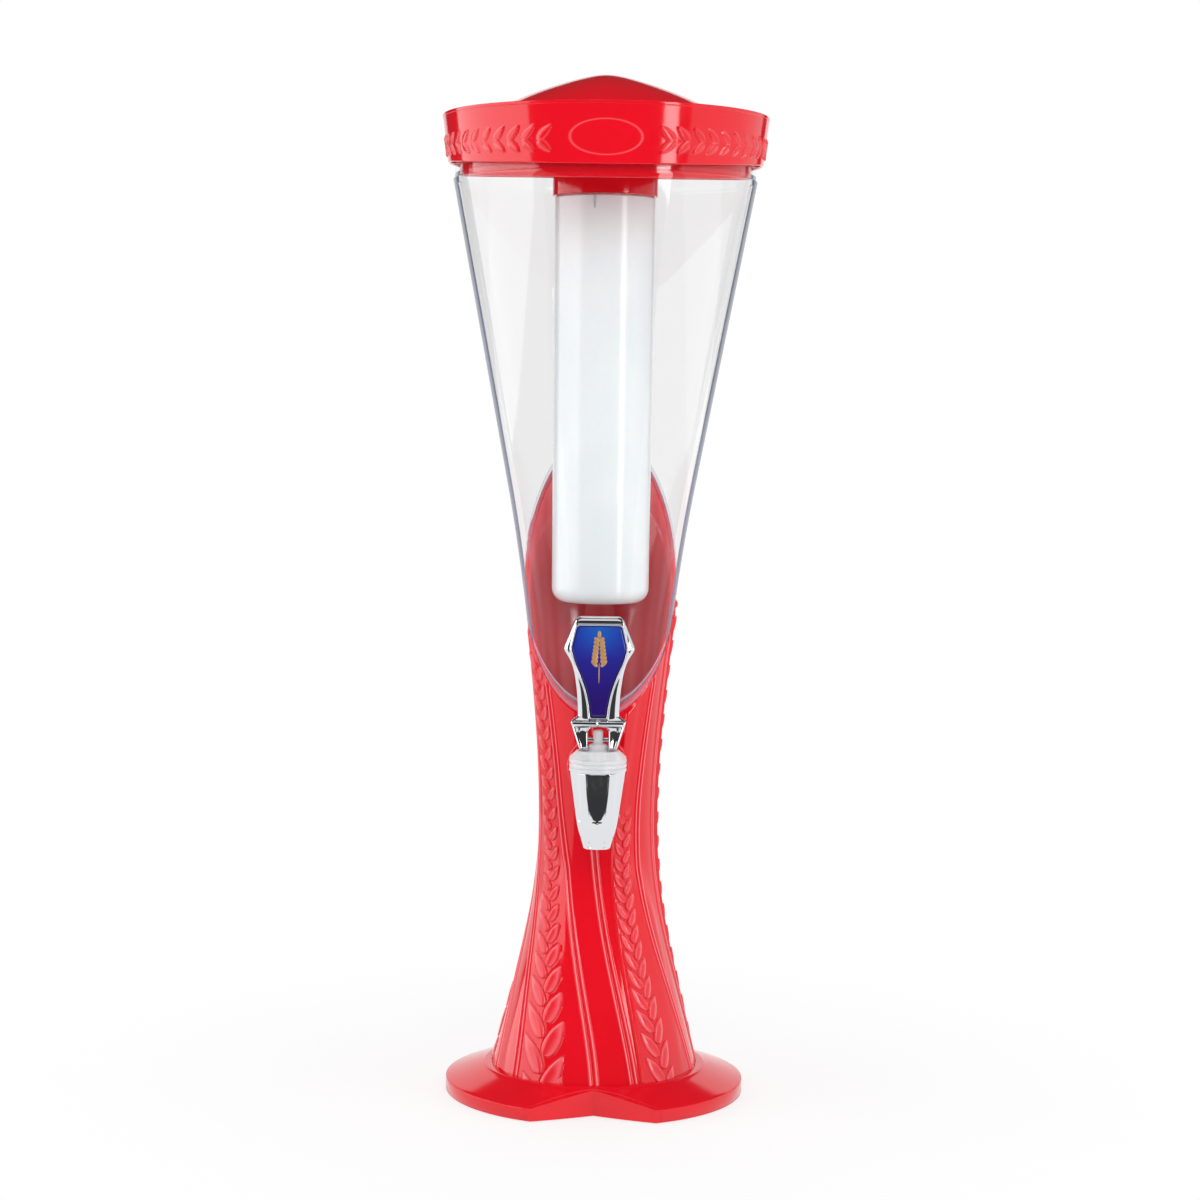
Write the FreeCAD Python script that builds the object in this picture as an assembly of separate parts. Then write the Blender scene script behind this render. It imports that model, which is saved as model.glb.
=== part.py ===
import FreeCAD, Part
import math
import os

# Beer tower dispenser. Millimetres, +Z up, origin on the standing plane under the column axis.
# The tap faces -Y and +X is to its right. Every wall is turned about the column axis, except the tap,
# which is turned about its own axis in front of the column.

Vector = FreeCAD.Vector
UP = Vector(0, 0, 1)
RIGHT = Vector(1, 0, 0)
BACK = Vector(0, 1, 0)
ORIGIN = Vector(0, 0, 0)

# ---------------------------------------------------------------- driving dimensions
# shared gaps
seat_gap = 0.15          # between a piece and the face it rests on
slip_gap = 0.3           # between two walls that slide together by hand
running_gap = 0.05       # radial, between a shaft and its bore
root_depth = 0.5         # how far a rib or ring runs into the wall it grows from

# outer wall, shared by the column and the clear tank: heights and radii, foot to cone
column_foot_z = 11.5
wall_stations = [(60.0, 45.6), (105.0, 35.9), (161.0, 32.2), (216.0, 35.2), (272.0, 41.4)]
foot_radius = 57.8
cone_start_z = 338.0
cone_start_radius = 51.7
rim_z = 514.0
rim_radius = 85.0

# sleeve: where the column's mouth is cut off at a slant
sleeve_cut_z = 269.0     # height of the cut on the column axis
sleeve_cut_angle = 58.0  # from level, low at the front

# column moulding
column_wall = 2.4
panel_count = 5
bead_half_width = 1.5
bead_height = 1.0
panel_step = 0.7         # how far the ear panels stand out at their sharp edge
relief_fade = 10.0       # height over which the relief dies out under the sleeve's rim
left_bead = (1.0, -35.0, 175.0)     # foot azimuth, twist in degrees, height where the twist ends
right_bead = (23.0, -28.0, 175.0)
ear_line = (-29.5, -18.5, 150.0)
ear_panel_foot = 14.5    # half angle from the ear's stem to the panel's sharp edge
ear_panel_top = 9.0
lean_start_z = 130.0     # above this the lines lean away from the tap
lean_rate = 0.16         # degrees for each millimetre
lean_reach = 80.0        # azimuth beyond which nothing leans

# screw pillars in the column's foot
pillar_circle = 41.0
pillar_radius = 4.2
pillar_height = 24.0
gusset_thickness = 1.8
pilot_cap = 2.0          # plastic left over the end of a screw's hole
screw_radius = 1.9
screw_length = 19.0
screw_head_radius = 3.8
screw_head_height = 2.4
screw_head_bevel = 1.2
screw_seat_wall = 3.6    # plastic between a screw's head and the column's foot
screw_boss_wall = 2.2
screw_azimuth = 36.0

# base flange
flange_radius = 83.0
flange_edge_height = 7.6
flange_top_z = 15.8      # where the sloping top meets the column
flange_wall = 2.6
socket_lip = 0.6         # level lip round the column's foot
spigot_height = 6.0      # ring that the column's foot drops over
spigot_wall = 3.0
notch_azimuth = 25.4     # from the front to each corner of the notch
notch_depth_y = 62.5     # distance of the notch's inner edge from the axis
notch_bow = 1.6          # how far the two notch walls are hollowed
foot_pad_radius = 6.0
foot_pad_circle = 70.0
foot_pad_proud = 0.6
foot_pad_sink = 1.4
foot_pad_gap = 0.1
foot_boss_wall = 1.6
rib_thickness = 1.8
rib_lift = 1.0           # ribs end this far above the flange's lower edge

# clear tank
tank_wall = 2.8
tank_floor_z = 165.0
rim_wall = 2.2           # of the upright neck inside the lid
rim_neck_depth = 1.0     # how far the neck stands back from the cone
rim_neck_z = 505.5
tank_pad_radius = 14.0
tank_pad_y = -24.6

# lid
lid_edge_radius = 89.5
lid_edge_z = 540.0
lid_skirt = [(510.0, 85.8), (516.0, 86.5), (524.0, 87.7), (531.0, 88.2)]
skirt_foot_radius = 85.7
skirt_side_z = 514.3     # lower edge at the two sides
skirt_droop = 7.0        # how much lower the edge is at front and back
lid_wall = 2.2
plug_radius = 79.7
plug_wall = 2.0
plug_side_z = 507.0
plug_droop = 6.7
crest_roundness = 0.15
saddle_steps = 6
lid_rim_width = 2.2
lid_rim_height = 1.6
lid_rim_round = 0.7
lid_well_slope = 0.4
lid_well_depth = 1.8
dome_apex_z = 563.0
dome_points = [(15.8, 560.3), (33.0, 554.8), (47.0, 549.2)]
dome_foot_radius = 69.0
rest_rib_count = 24
rest_rib_thickness = 1.4

# collar and bayonet of the ice tube
collar_radius = 28.9
collar_wall = 2.3
collar_foot_z = 497.0
lug_count = 3
lug_azimuth = 90.0
lug_half_angle = 5.0
lug_depth = 1.4
lug_z = 501.6
lug_height = 3.0
lug_side_gap = 0.6       # degrees
twist_to_open = 24.0     # degrees
tube_top_radius = 27.8
tube_foot_radius = 26.9
tube_foot_z = 274.0
tube_foot_round = 8.0
tube_wall = 1.8
neck_height = 15.0
shoulder_bevel = 0.8
mark_azimuth = -11.5     # little wedge that shows where the tube is locked
mark_height = 8.5
mark_width = 1.4
mark_depth = 1.1

# tap
tap_y = -60.0
shank_z = 187.4
shank_radius = 8.0
shank_bore = 4.4
shank_end_y = -12.0
boss_radius = 16.8
boss_face_y = -41.5
boss_round = 1.5
shank_flange_radius = 11.5
shank_flange_bite = 3.0  # how far the shank's flange runs into the head
outer_washer_radius = 12.5
outer_washer = 1.5
inner_washer_radius = 12.0
inner_washer = 1.8
nut_flats = 24.0
nut_thickness = 7.0
nut_bevel = 2.6
nut_bevel_depth = 0.6
head_radius = 15.4
head_foot_z = 188.1
head_top_z = 199.0
head_bevel = 4.0
head_bevel_height = 3.6
head_groove = 0.5
head_groove_count = 3
head_land = 0.6          # share of a groove's pitch that stays plain
chamber_radius = 7.4
chamber_floor_z = 174.4
chamber_top_z = 192.8
chamber_tube_radius = 10.4
chamber_tube_foot_z = 170.4
outlet_bore = 4.2
outlet_tube_radius = 5.6
outlet_tube_foot_z = 159.4

# chrome spout shroud: heights and radii, rim to mouth
shroud_stations = [(180.4, 13.8), (168.4, 12.2), (155.7, 10.1)]
shroud_rim_radius = 14.9
shroud_mouth_radius = 7.0
shroud_waist_radius = 8.7
shroud_waist_z = 152.0
shroud_mouth_z = 146.0
shroud_mouth_round = 1.0
facet_count = 6
facet_rim_distance = 13.6
facet_point_distance = 11.0
facet_point_z = 162.0

# valve
gland_radius = 4.6
gland_cap_radius = 5.2
gland_cap_height = 1.5
gland_dome_height = 1.8
gland_dome_land = 0.8    # level ring round the stem
gland_groove_share = 0.45
stem_radius = 2.65
stem_top_z = 210.0
stem_bevel = 0.8
stem_foot_gap = 1.6      # between the stem's foot and the chamber floor
spring_collar_radius = 5.4
spring_collar_z = 182.8
spring_collar_height = 1.4
barb_radius = 3.7
barb_height = 1.4
barb_bevel = 0.7
valve_cup_radius = 6.2
valve_cup_height = 4.6
valve_cup_lip = 2.0
valve_cup_bevel = 1.6
valve_nose_gap = 0.4     # between the cup's nose and the outlet
valve_nose_depth = 0.8
spring_radius = 4.3
spring_wire = 0.45
spring_turns = 4.5
wire_sides = 6
seal_height = 1.5
seal_depth = 0.9
seal_corner = 0.33
stem_seal_depth = 1.1

# handle
pin_z = 204.6
pin_radius = 1.1
handle_half_depth = 4.5
heel_gap = 0.3           # under the handle's heels at rest
lift_per_radian = 4.9    # the heels are cams that raise the stem evenly
handle_travel = 38.0     # degrees, pulled forwards
cam_overrun = 3.0        # degrees of cam past the end of the travel
cam_steps = 6
fork_half_gap = 5.5
fork_foot_half = 10.5
fork_tip_half = 14.8
fork_tip_z = 214.9
fork_bar_z = 211.9
fork_chamfer = 2.0
fork_root = 2.0          # how far the fork runs up into the paddle
fork_leg_bow = 1.0
fork_leg_flare = 0.6
heel_back = 5.0
heel_bevel = 1.0
pin_proud = 0.2          # at each end
paddle_top_z = 270.7
paddle_top_half = 12.2
paddle_wide_z = 253.6
paddle_wide_half = 19.3
paddle_waist_z = 218.2
paddle_waist_half = 10.95
paddle_side_bow = 2.6
paddle_bevel = 2.2
paddle_corner = 1.3
label_top_z = 265.6
label_top_half = 11.45
label_wide_half = 14.5
label_foot_z = 217.3
label_foot_half = 3.9
label_side_bow = 1.6
label_thickness = 1.4
label_sink = 0.5


# ---------------------------------------------------------------- small tools
def at_azimuth(radius, azimuth, z):
    """Point at an azimuth counted from the front (-Y), positive towards the right (+X)."""
    angle = math.radians(azimuth)
    return Vector(radius * math.sin(angle), -radius * math.cos(angle), z)


def blend(start, end, share):
    return start + (end - start) * share


def eased(share):
    """Smooth run from 0 to 1."""
    clipped = min(max(share, 0.0), 1.0)
    return (1 - math.cos(math.pi * clipped)) / 2


def polyline(points):
    return Part.makePolygon([Vector(*point) for point in points]).Edges


def turned(edges, x=0.0, y=0.0):
    """Solid of a closed outline in the XZ plane, turned about the vertical through x, y."""
    face = Part.Face(Part.Wire(Part.__sortEdges__(edges)))
    solid = face.revolve(ORIGIN, UP, 360)
    solid.translate(Vector(x, y, 0))
    return solid


def turned_points(points, x=0.0, y=0.0):
    """Turned solid of a closed outline of (radius, height) corners."""
    corners = [(radius, 0, z) for radius, z in points]
    return turned(polyline(corners + corners[:1]), x, y)


def post(radius, low_z, high_z, x=0.0, y=0.0):
    return Part.makeCylinder(radius, high_z - low_z, Vector(x, y, low_z), UP)


def ring(outer_radius, inner_radius, low_z, high_z, x=0.0, y=0.0):
    return post(outer_radius, low_z, high_z, x, y).cut(post(inner_radius, low_z, high_z, x, y))


def level_rod(radius, front_y, back_y, z=shank_z):
    return Part.makeCylinder(radius, back_y - front_y, Vector(0, front_y, z), BACK)


def ring_sector(inner_radius, outer_radius, low_z, high_z, middle, half_angle):
    """Part of a ring between two azimuths."""
    whole = ring(outer_radius, inner_radius, low_z, high_z)
    reach = outer_radius * 2
    corners = [Vector(0, 0, low_z), at_azimuth(reach, middle - half_angle, low_z),
               at_azimuth(reach, middle + half_angle, low_z), Vector(0, 0, low_z)]
    wedge = Part.Face(Part.makePolygon(corners)).extrude(Vector(0, 0, high_z - low_z))
    return whole.common(wedge)


def around(count, first=0.0):
    return [first + 360.0 / count * index for index in range(count)]


def one_solid(shape):
    """The solid itself, clean of seams left by the joining of its pieces."""
    refined = shape.copy().removeSplitter()
    return refined.Solids[0] if len(refined.Solids) == 1 else Part.makeCompound(refined.Solids)


def join(first, others):
    return first.multiFuse(others)


# ---------------------------------------------------------------- the shared outer wall
def cone_slope():
    return (rim_radius - cone_start_radius) / (rim_z - cone_start_z)


def wall_curve(inset):
    """Curved stretch of the wall, foot to cone, moved inwards by inset."""
    stations = [(column_foot_z, foot_radius)] + wall_stations + [(cone_start_z, cone_start_radius)]
    curve = Part.BSplineCurve()
    along = [Vector(radius - inset, 0, z) for z, radius in stations]
    start = (along[1] - along[0]).normalize()
    cone = Vector(cone_slope(), 0, 1).normalize()
    curve.interpolate(Points=along, InitialTangent=start, FinalTangent=cone)
    return curve


def parameter_at(curve, z):
    """Where the curve, which only rises, passes a height."""
    low, high = curve.FirstParameter, curve.LastParameter
    for _ in range(50):
        middle = (low + high) / 2
        if curve.value(middle).z < z:
            low = middle
        else:
            high = middle
    return (low + high) / 2


def wall_radius(z, inset=0.0, curve=None):
    if z >= cone_start_z:
        return cone_start_radius + cone_slope() * (z - cone_start_z) - inset
    curve = curve or wall_curve(inset)
    return curve.value(parameter_at(curve, z)).x


def wall_edges(inset, low_z, high_z):
    """Edges of the wall's outline between two heights."""
    edges = []
    if low_z < cone_start_z:
        curve = wall_curve(inset)
        top = min(high_z, cone_start_z)
        edges.append(curve.toShape(parameter_at(curve, low_z), parameter_at(curve, top)))
    if high_z > cone_start_z:
        foot = max(low_z, cone_start_z)
        ends = [Vector(wall_radius(z, inset), 0, z) for z in (foot, high_z)]
        edges.append(Part.makeLine(*ends))
    return edges


def wall_core(inset, low_z, high_z):
    """Everything inside the wall, moved inwards by inset, between two heights."""
    edges = wall_edges(inset, low_z, high_z)
    low_point = edges[0].Vertexes[0].Point
    high_point = edges[-1].Vertexes[-1].Point
    closing = Part.makePolygon([high_point, Vector(0, 0, high_z), Vector(0, 0, low_z), low_point])
    return turned(edges + closing.Edges)


def above_sleeve_cut(lift=0.0):
    """All the space above the slanted cut, raised by lift along the cut's normal."""
    size = 4 * rim_radius + rim_z
    block = Part.makeBox(size, size, size, Vector(-size / 2, -size / 2, lift))
    block.rotate(ORIGIN, RIGHT, sleeve_cut_angle)
    block.translate(Vector(0, 0, sleeve_cut_z))
    return block


# ---------------------------------------------------------------- column
def leaned(azimuth, z):
    """Lines near the tap lean away from it as they climb."""
    lean = lean_rate * max(z - lean_start_z, 0.0)
    reach = min(abs(azimuth), lean_reach) / lean_reach
    return azimuth + math.copysign(lean * math.sin(math.pi * reach), azimuth)


def line_azimuth(line, index, z):
    foot, twist, end_z = line
    plain = foot + 360.0 / panel_count * index + twist * eased(z / end_z)
    wrapped = (plain + 180) % 360 - 180
    return plain + leaned(wrapped, z) - wrapped


def relief_row(z, radius):
    """Azimuth and height of the relief across all panels at one height."""
    half = math.degrees(bead_half_width / radius)
    row = []
    for index in range(panel_count):
        left = line_azimuth(left_bead, index, z)
        right = line_azimuth(right_bead, index, z)
        ear = line_azimuth(ear_line, index + 1, z)
        following = line_azimuth(left_bead, index + 1, z)
        edge = ear - blend(ear_panel_foot, ear_panel_top, eased(z / ear_line[2]))
        for line in (left, right):
            row += [(line - half, 0.0), (line - half / 3, bead_height)]
            row += [(line + half / 3, bead_height), (line + half, 0.0)]
            if line == left:
                row += [(blend(left + half, right - half, share / 3), 0.0) for share in (1, 2)]
        row += [(blend(right + half, edge, 0.8), 0.0), (edge, panel_step)]
        steps = [(1, 0.8), (2, 0.5), (3, 0.2)]
        row += [(blend(edge, following - half, part / 4), panel_step * share) for part, share in steps]
    return row


def fluted_column_body(margin=0.0):
    """Solid inside the column's outer face, grown by a margin: one surface whose poles follow the beads."""
    top_z = sleeve_cut_z + math.tan(math.radians(sleeve_cut_angle)) * cone_start_radius * 1.3
    row_count = 22
    curve = wall_curve(0.0)
    slant = math.tan(math.radians(sleeve_cut_angle))
    poles = []
    for row_index in range(row_count):
        z = blend(column_foot_z, top_z, row_index / (row_count - 1))
        radius = wall_radius(z, 0.0, curve)
        row = []
        for azimuth, height in relief_row(z, radius):
            below_rim = sleeve_cut_z - slant * radius * math.cos(math.radians(azimuth)) - z
            row.append(at_azimuth(radius + margin + height * eased(below_rim / relief_fade), azimuth, z))
        poles.append(row)
    around_poles = [list(column) for column in zip(*poles)]
    around_count = len(around_poles)
    surface = Part.BSplineSurface()
    surface.buildFromPolesMultsKnots(
        around_poles, [1] * (around_count + 1), [4] + [1] * (row_count - 4) + [4],
        list(range(around_count + 1)), list(range(row_count - 2)), True, False, 3, 3)
    side = surface.toShape()
    ends = [edge for edge in side.Edges if edge.BoundBox.ZLength < 0.01]
    caps = [Part.Face(Part.Wire(edge)) for edge in ends]
    body = Part.Solid(Part.Shell([side] + caps))
    if body.Volume < 0:
        body.reverse()
    return body


def screw_pillars(hollow):
    """Pillars for the base screws, each tied to the column's wall by a gusset."""
    pieces = []
    top_z = column_foot_z + pillar_height
    gusset_foot_z = column_foot_z + spigot_height + slip_gap
    for azimuth in around(panel_count, screw_azimuth):
        spot = at_azimuth(pillar_circle, azimuth, column_foot_z)
        pieces.append(post(pillar_radius, column_foot_z, top_z, spot.x, spot.y))
        gusset = Part.makeBox(gusset_thickness, foot_radius - pillar_circle, top_z - gusset_foot_z,
                              Vector(-gusset_thickness / 2, -foot_radius, gusset_foot_z))
        gusset.rotate(ORIGIN, UP, azimuth)
        pieces.append(gusset.common(hollow))
    return pieces


def screw_holes(low_z, high_z, radius):
    spots = [at_azimuth(pillar_circle, azimuth, 0) for azimuth in around(panel_count, screw_azimuth)]
    return [post(radius, low_z, high_z, spot.x, spot.y) for spot in spots]


def column():
    hollow = wall_core(column_wall, column_foot_z, rim_z)
    body = fluted_column_body().cut(above_sleeve_cut())
    boss = level_rod(boss_radius, boss_face_y, 0)
    front_edge = [edge for edge in boss.Edges if abs(edge.BoundBox.YMax - boss_face_y) < 0.01]
    boss = boss.makeFillet(boss_round, front_edge)
    shell = body.fuse(boss).cut(hollow)
    shell = join(shell, screw_pillars(hollow))
    pilots = screw_holes(column_foot_z, column_foot_z + pillar_height - pilot_cap, screw_radius)
    shank_hole = level_rod(shank_radius + slip_gap, boss_face_y, 0)
    return one_solid(shell.cut(Part.makeCompound(pilots + [shank_hole])))


# ---------------------------------------------------------------- base
def notch_prism(margin, high_z):
    """Front notch: two hollowed walls that meet in an upright edge."""
    corner_angle = math.radians(notch_azimuth)
    corner = Vector(flange_radius * math.sin(corner_angle), -flange_radius * math.cos(corner_angle), 0)
    tip = Vector(0, -notch_depth_y + margin, 0)
    wall = (corner - Vector(0, -notch_depth_y, 0)).normalize()
    outer = corner + wall * flange_radius / 4 + Vector(margin, margin, 0)
    middle = (outer + tip) * 0.5 + Vector(-wall.y, wall.x, 0) * -notch_bow
    right = Part.Arc(tip, middle, outer).toShape()
    left = Part.Arc(Vector(-outer.x, outer.y, 0), Vector(-middle.x, middle.y, 0), tip).toShape()
    front_y = -2 * flange_radius
    front = Part.makePolygon([outer, Vector(outer.x, front_y, 0), Vector(-outer.x, front_y, 0),
                              Vector(-outer.x, outer.y, 0)])
    outline = Part.Wire(Part.__sortEdges__([right, left] + front.Edges))
    return Part.Face(outline).extrude(Vector(0, 0, high_z))


def flange_blank(inset, low_z):
    """Disc with a sloping top, moved inwards by inset all round."""
    shoulder = foot_radius + slip_gap + socket_lip
    return turned_points([
        (0, low_z), (flange_radius - inset, low_z), (flange_radius - inset, flange_edge_height - inset),
        (shoulder, flange_top_z - inset), (0, flange_top_z - inset)])


def plate_low_z():
    """Underside of the plate that the column stands on."""
    return column_foot_z - seat_gap - flange_wall


def screw_seat_z():
    return column_foot_z - screw_seat_wall - seat_gap


def spigot():
    """Ring that rises inside the column's foot and centres it."""
    inset = column_wall + slip_gap
    top_z = column_foot_z + spigot_height
    inner_radius = wall_radius(top_z, inset) - spigot_wall
    foot = wall_radius(column_foot_z, inset)
    return turned_points([
        (inner_radius, plate_low_z() + root_depth), (foot, plate_low_z() + root_depth), (foot, column_foot_z),
        (wall_radius(top_z, inset), top_z), (inner_radius, top_z)])


def foot_spots():
    return [at_azimuth(foot_pad_circle, azimuth, 0) for azimuth in around(panel_count, screw_azimuth)]


def foot_discs(radius, low_z, high_z):
    return [post(radius, low_z, high_z, spot.x, spot.y) for spot in foot_spots()]


def base_flange():
    """Disc hollow from below, with a socket for the column, a rib for each screw and foot, and the notch."""
    low_z = foot_pad_proud
    above_z = flange_top_z + 1
    socket_radius = foot_radius + slip_gap
    socket = post(socket_radius, column_foot_z - seat_gap, above_z)
    outer = flange_blank(0, low_z).cut(socket).cut(notch_prism(0, above_z))
    hollow = flange_blank(flange_wall, low_z).cut(notch_prism(flange_wall, above_z))
    under_socket = post(socket_radius + flange_wall, plate_low_z(), above_z)
    middle = flange_blank(flange_wall / 2, low_z).cut(notch_prism(flange_wall / 2, above_z))
    inside = outer.common(middle)
    pieces = []
    for azimuth in around(panel_count, screw_azimuth):
        rib = Part.makeBox(rib_thickness, flange_radius, above_z,
                           Vector(-rib_thickness / 2, -flange_radius, low_z + rib_lift))
        rib.rotate(ORIGIN, UP, azimuth)
        pieces.append(rib)
    pieces += foot_discs(foot_pad_radius + foot_boss_wall, low_z, above_z)
    pieces += screw_holes(low_z + rib_lift, plate_low_z() + root_depth, screw_head_radius + screw_boss_wall)
    body = join(outer.cut(hollow.cut(under_socket)), [piece.common(inside) for piece in pieces] + [spigot()])
    cuts = screw_holes(low_z, above_z, screw_radius + slip_gap)
    cuts += screw_holes(low_z, screw_seat_z(), screw_head_radius + slip_gap)
    cuts += foot_discs(foot_pad_radius + foot_pad_gap, low_z, low_z + foot_pad_sink)
    plain = one_solid(body.cut(Part.makeCompound(cuts)))
    bead_recesses = fluted_column_body(slip_gap).cut(post(socket_radius, column_foot_z, rim_z))
    return plain.cut(bead_recesses).Solids[0]


def rubber_feet():
    return Part.makeCompound(foot_discs(foot_pad_radius, 0, foot_pad_proud + foot_pad_sink))


def base_screws():
    """Screws driven up through the flange into the column's pillars."""
    head_low = screw_seat_z() - screw_head_height
    tip_z = head_low + screw_length
    screws = []
    for azimuth in around(panel_count, screw_azimuth):
        spot = at_azimuth(pillar_circle, azimuth, 0)
        screws.append(turned_points([
            (0, head_low), (screw_head_radius - screw_head_bevel, head_low),
            (screw_head_radius, head_low + screw_head_bevel), (screw_head_radius, screw_seat_z()),
            (screw_radius, screw_seat_z()), (screw_radius, tip_z),
            (0, tip_z + screw_radius)], spot.x, spot.y))
    return Part.makeCompound(screws)


# ---------------------------------------------------------------- clear tank
def tank_foot_inset():
    """How far the tank's narrower foot stands inside the outer wall."""
    return column_wall + slip_gap


def neck_outer_radius():
    return wall_radius(rim_neck_z) - rim_neck_depth


def tank_inner_radius(z):
    """Inside of the cone, whose wall grows thicker downwards."""
    share = (min(z, rim_neck_z) - cone_start_z) / (rim_neck_z - cone_start_z)
    foot = wall_radius(cone_start_z, tank_foot_inset() + tank_wall)
    return blend(foot, neck_outer_radius() - rim_wall, share)


def tank_hollow():
    """Inside of the tank, from its floor to its rim."""
    floor_z = tank_floor_z + tank_wall
    inset = tank_foot_inset() + tank_wall
    edges = wall_edges(inset, floor_z, cone_start_z)
    low_point = Vector(wall_radius(floor_z, inset), 0, floor_z)
    above = [Vector(tank_inner_radius(z), 0, z) for z in (cone_start_z, rim_neck_z, rim_z)]
    closing = Part.makePolygon(above + [Vector(0, 0, rim_z), Vector(0, 0, floor_z), low_point])
    return turned(edges + closing.Edges)


def tank():
    """Cone above the slanted cut, and a narrower foot inside the column below it."""
    cone = wall_core(0.0, tank_floor_z, rim_z).common(above_sleeve_cut(seat_gap))
    foot_core = wall_core(tank_foot_inset(), tank_floor_z, rim_z)
    outer = cone.fuse(foot_core.cut(above_sleeve_cut(seat_gap + root_depth)))
    outer = outer.cut(ring(lid_edge_radius, neck_outer_radius(), rim_neck_z, lid_edge_z))
    pad = level_rod(tank_pad_radius, tap_y, tank_pad_y).common(foot_core)
    shell = outer.cut(tank_hollow()).fuse(pad)
    return one_solid(shell.cut(level_rod(shank_radius + slip_gap, boss_face_y, 0)))


# ---------------------------------------------------------------- lid
def saddle_below(side_z, droop):
    """All the space below a lid edge that is high at the sides and low at front and back."""
    reach = 2 * lid_edge_radius
    crown = math.hypot(1, crest_roundness) - crest_roundness
    points = []
    for step in range(-saddle_steps, saddle_steps + 1):
        share = step / saddle_steps
        sag = (math.hypot(share, crest_roundness) - crest_roundness) / crown
        points.append(Vector(-reach, share * lid_edge_radius, side_z - droop * sag))
    edge = Part.BSplineCurve()
    edge.interpolate(Points=points)
    first, last = points[0], points[-1]
    closing = Part.makePolygon([last, Vector(-reach, last.y, cone_start_z),
                                Vector(-reach, first.y, cone_start_z), first])
    face = Part.Face(Part.Wire([edge.toShape()] + closing.Edges))
    return face.extrude(Vector(2 * reach, 0, 0))


def dome_curve(drop):
    """Outline of the shallow dome, from its foot to the apex, lowered by drop."""
    foot_z = lid_edge_z - lid_well_depth
    points = [Vector(0, 0, dome_apex_z - drop)]
    points += [Vector(radius, 0, z - drop) for radius, z in dome_points]
    points.append(Vector(dome_foot_radius, 0, foot_z - drop))
    curve = Part.BSplineCurve()
    curve.interpolate(Points=points)
    return curve.toShape()


def lid_top_low_z():
    """Underside of the lid's level top."""
    return lid_edge_z - lid_well_depth - lid_wall


def lid_shell():
    """Flared skirt and domed top, open underneath."""
    foot_z = skirt_side_z - skirt_droop - lid_wall
    well_z = lid_edge_z - lid_well_depth
    inner_edge = lid_edge_radius - lid_rim_width
    well_foot = inner_edge - lid_well_depth * lid_well_slope
    skirt = [(skirt_foot_radius, foot_z)] + [(radius, z) for z, radius in lid_skirt]
    skirt += [(lid_edge_radius, lid_edge_z - lid_rim_height), (lid_edge_radius, lid_edge_z - lid_rim_round)]
    skirt += [(lid_edge_radius - lid_rim_round, lid_edge_z), (inner_edge, lid_edge_z)]
    inner = [(dome_foot_radius, lid_top_low_z()), (well_foot, lid_top_low_z())]
    inner += [(radius - lid_wall, z) for z, radius in reversed(lid_skirt)]
    inner.append((skirt_foot_radius - lid_wall, foot_z))
    well = [(well_foot, well_z), (dome_foot_radius, well_z)]
    outline = [(radius, 0, z) for radius, z in inner + skirt + well]
    apex = [Vector(0, 0, dome_apex_z), Vector(0, 0, dome_apex_z - lid_wall)]
    edges = polyline(outline) + [dome_curve(0.0), dome_curve(lid_wall), Part.makeLine(*apex)]
    return turned(edges).cut(saddle_below(skirt_side_z, skirt_droop))


def plug_ring():
    """Ring inside the tank's rim, drawn in at its foot to follow the cone."""
    foot_z = plug_side_z - plug_droop - lid_wall
    foot_radius_here = tank_inner_radius(foot_z) - 2 * slip_gap
    top_z = lid_top_low_z() + root_depth
    outer = [(plug_radius, top_z), (plug_radius, plug_side_z), (foot_radius_here, foot_z)]
    inner = [(radius - plug_wall, z) for radius, z in reversed(outer)]
    return turned_points(outer + inner).cut(saddle_below(plug_side_z, plug_droop))


def rest_ribs():
    """Ribs between skirt and plug ring: their lower ends rest on the tank's rim."""
    low_z = rim_z + seat_gap
    high_z = lid_top_low_z() + root_depth
    inner_radius = plug_radius - plug_wall / 2
    outer_radius = wall_radius(rim_z)
    ribs = []
    for azimuth in around(rest_rib_count):
        rib = Part.makeBox(rest_rib_thickness, outer_radius - inner_radius, high_z - low_z,
                           Vector(-rest_rib_thickness / 2, -outer_radius, low_z))
        rib.rotate(ORIGIN, UP, azimuth)
        ribs.append(rib)
    return ribs


def lug_azimuths():
    return around(lug_count, lug_azimuth)


def bayonet_slots():
    """Grooves inside the collar: up from its foot, then round to the locked place."""
    depth_radius = collar_radius - collar_wall + lug_depth + slip_gap
    inner_radius = neck_radius()
    half = lug_half_angle + lug_side_gap
    low_z = lug_z - slip_gap / 2
    high_z = lug_z + lug_height + slip_gap / 2
    cuts = []
    for azimuth in lug_azimuths():
        middle = azimuth + twist_to_open / 2
        cuts.append(ring_sector(inner_radius, depth_radius, low_z, high_z, middle, half + twist_to_open / 2))
        cuts.append(ring_sector(inner_radius, depth_radius, collar_foot_z - 1, high_z,
                                azimuth + twist_to_open, half))
    return cuts


def collar():
    """Ring under the dome that carries the ice tube."""
    under_dome = turned([dome_curve(lid_wall / 2)] + polyline([
        (dome_foot_radius, 0, lid_top_low_z() + lid_wall / 2), (dome_foot_radius, 0, collar_foot_z),
        (0, 0, collar_foot_z), (0, 0, dome_apex_z - lid_wall / 2)]))
    return ring(collar_radius, collar_radius - collar_wall, collar_foot_z, dome_apex_z).common(under_dome)


def lid():
    body = join(lid_shell(), [plug_ring(), collar()] + rest_ribs())
    return one_solid(body.cut(Part.makeCompound(bayonet_slots())))


# ---------------------------------------------------------------- ice tube
def neck_radius():
    return collar_radius - collar_wall - slip_gap


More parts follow.
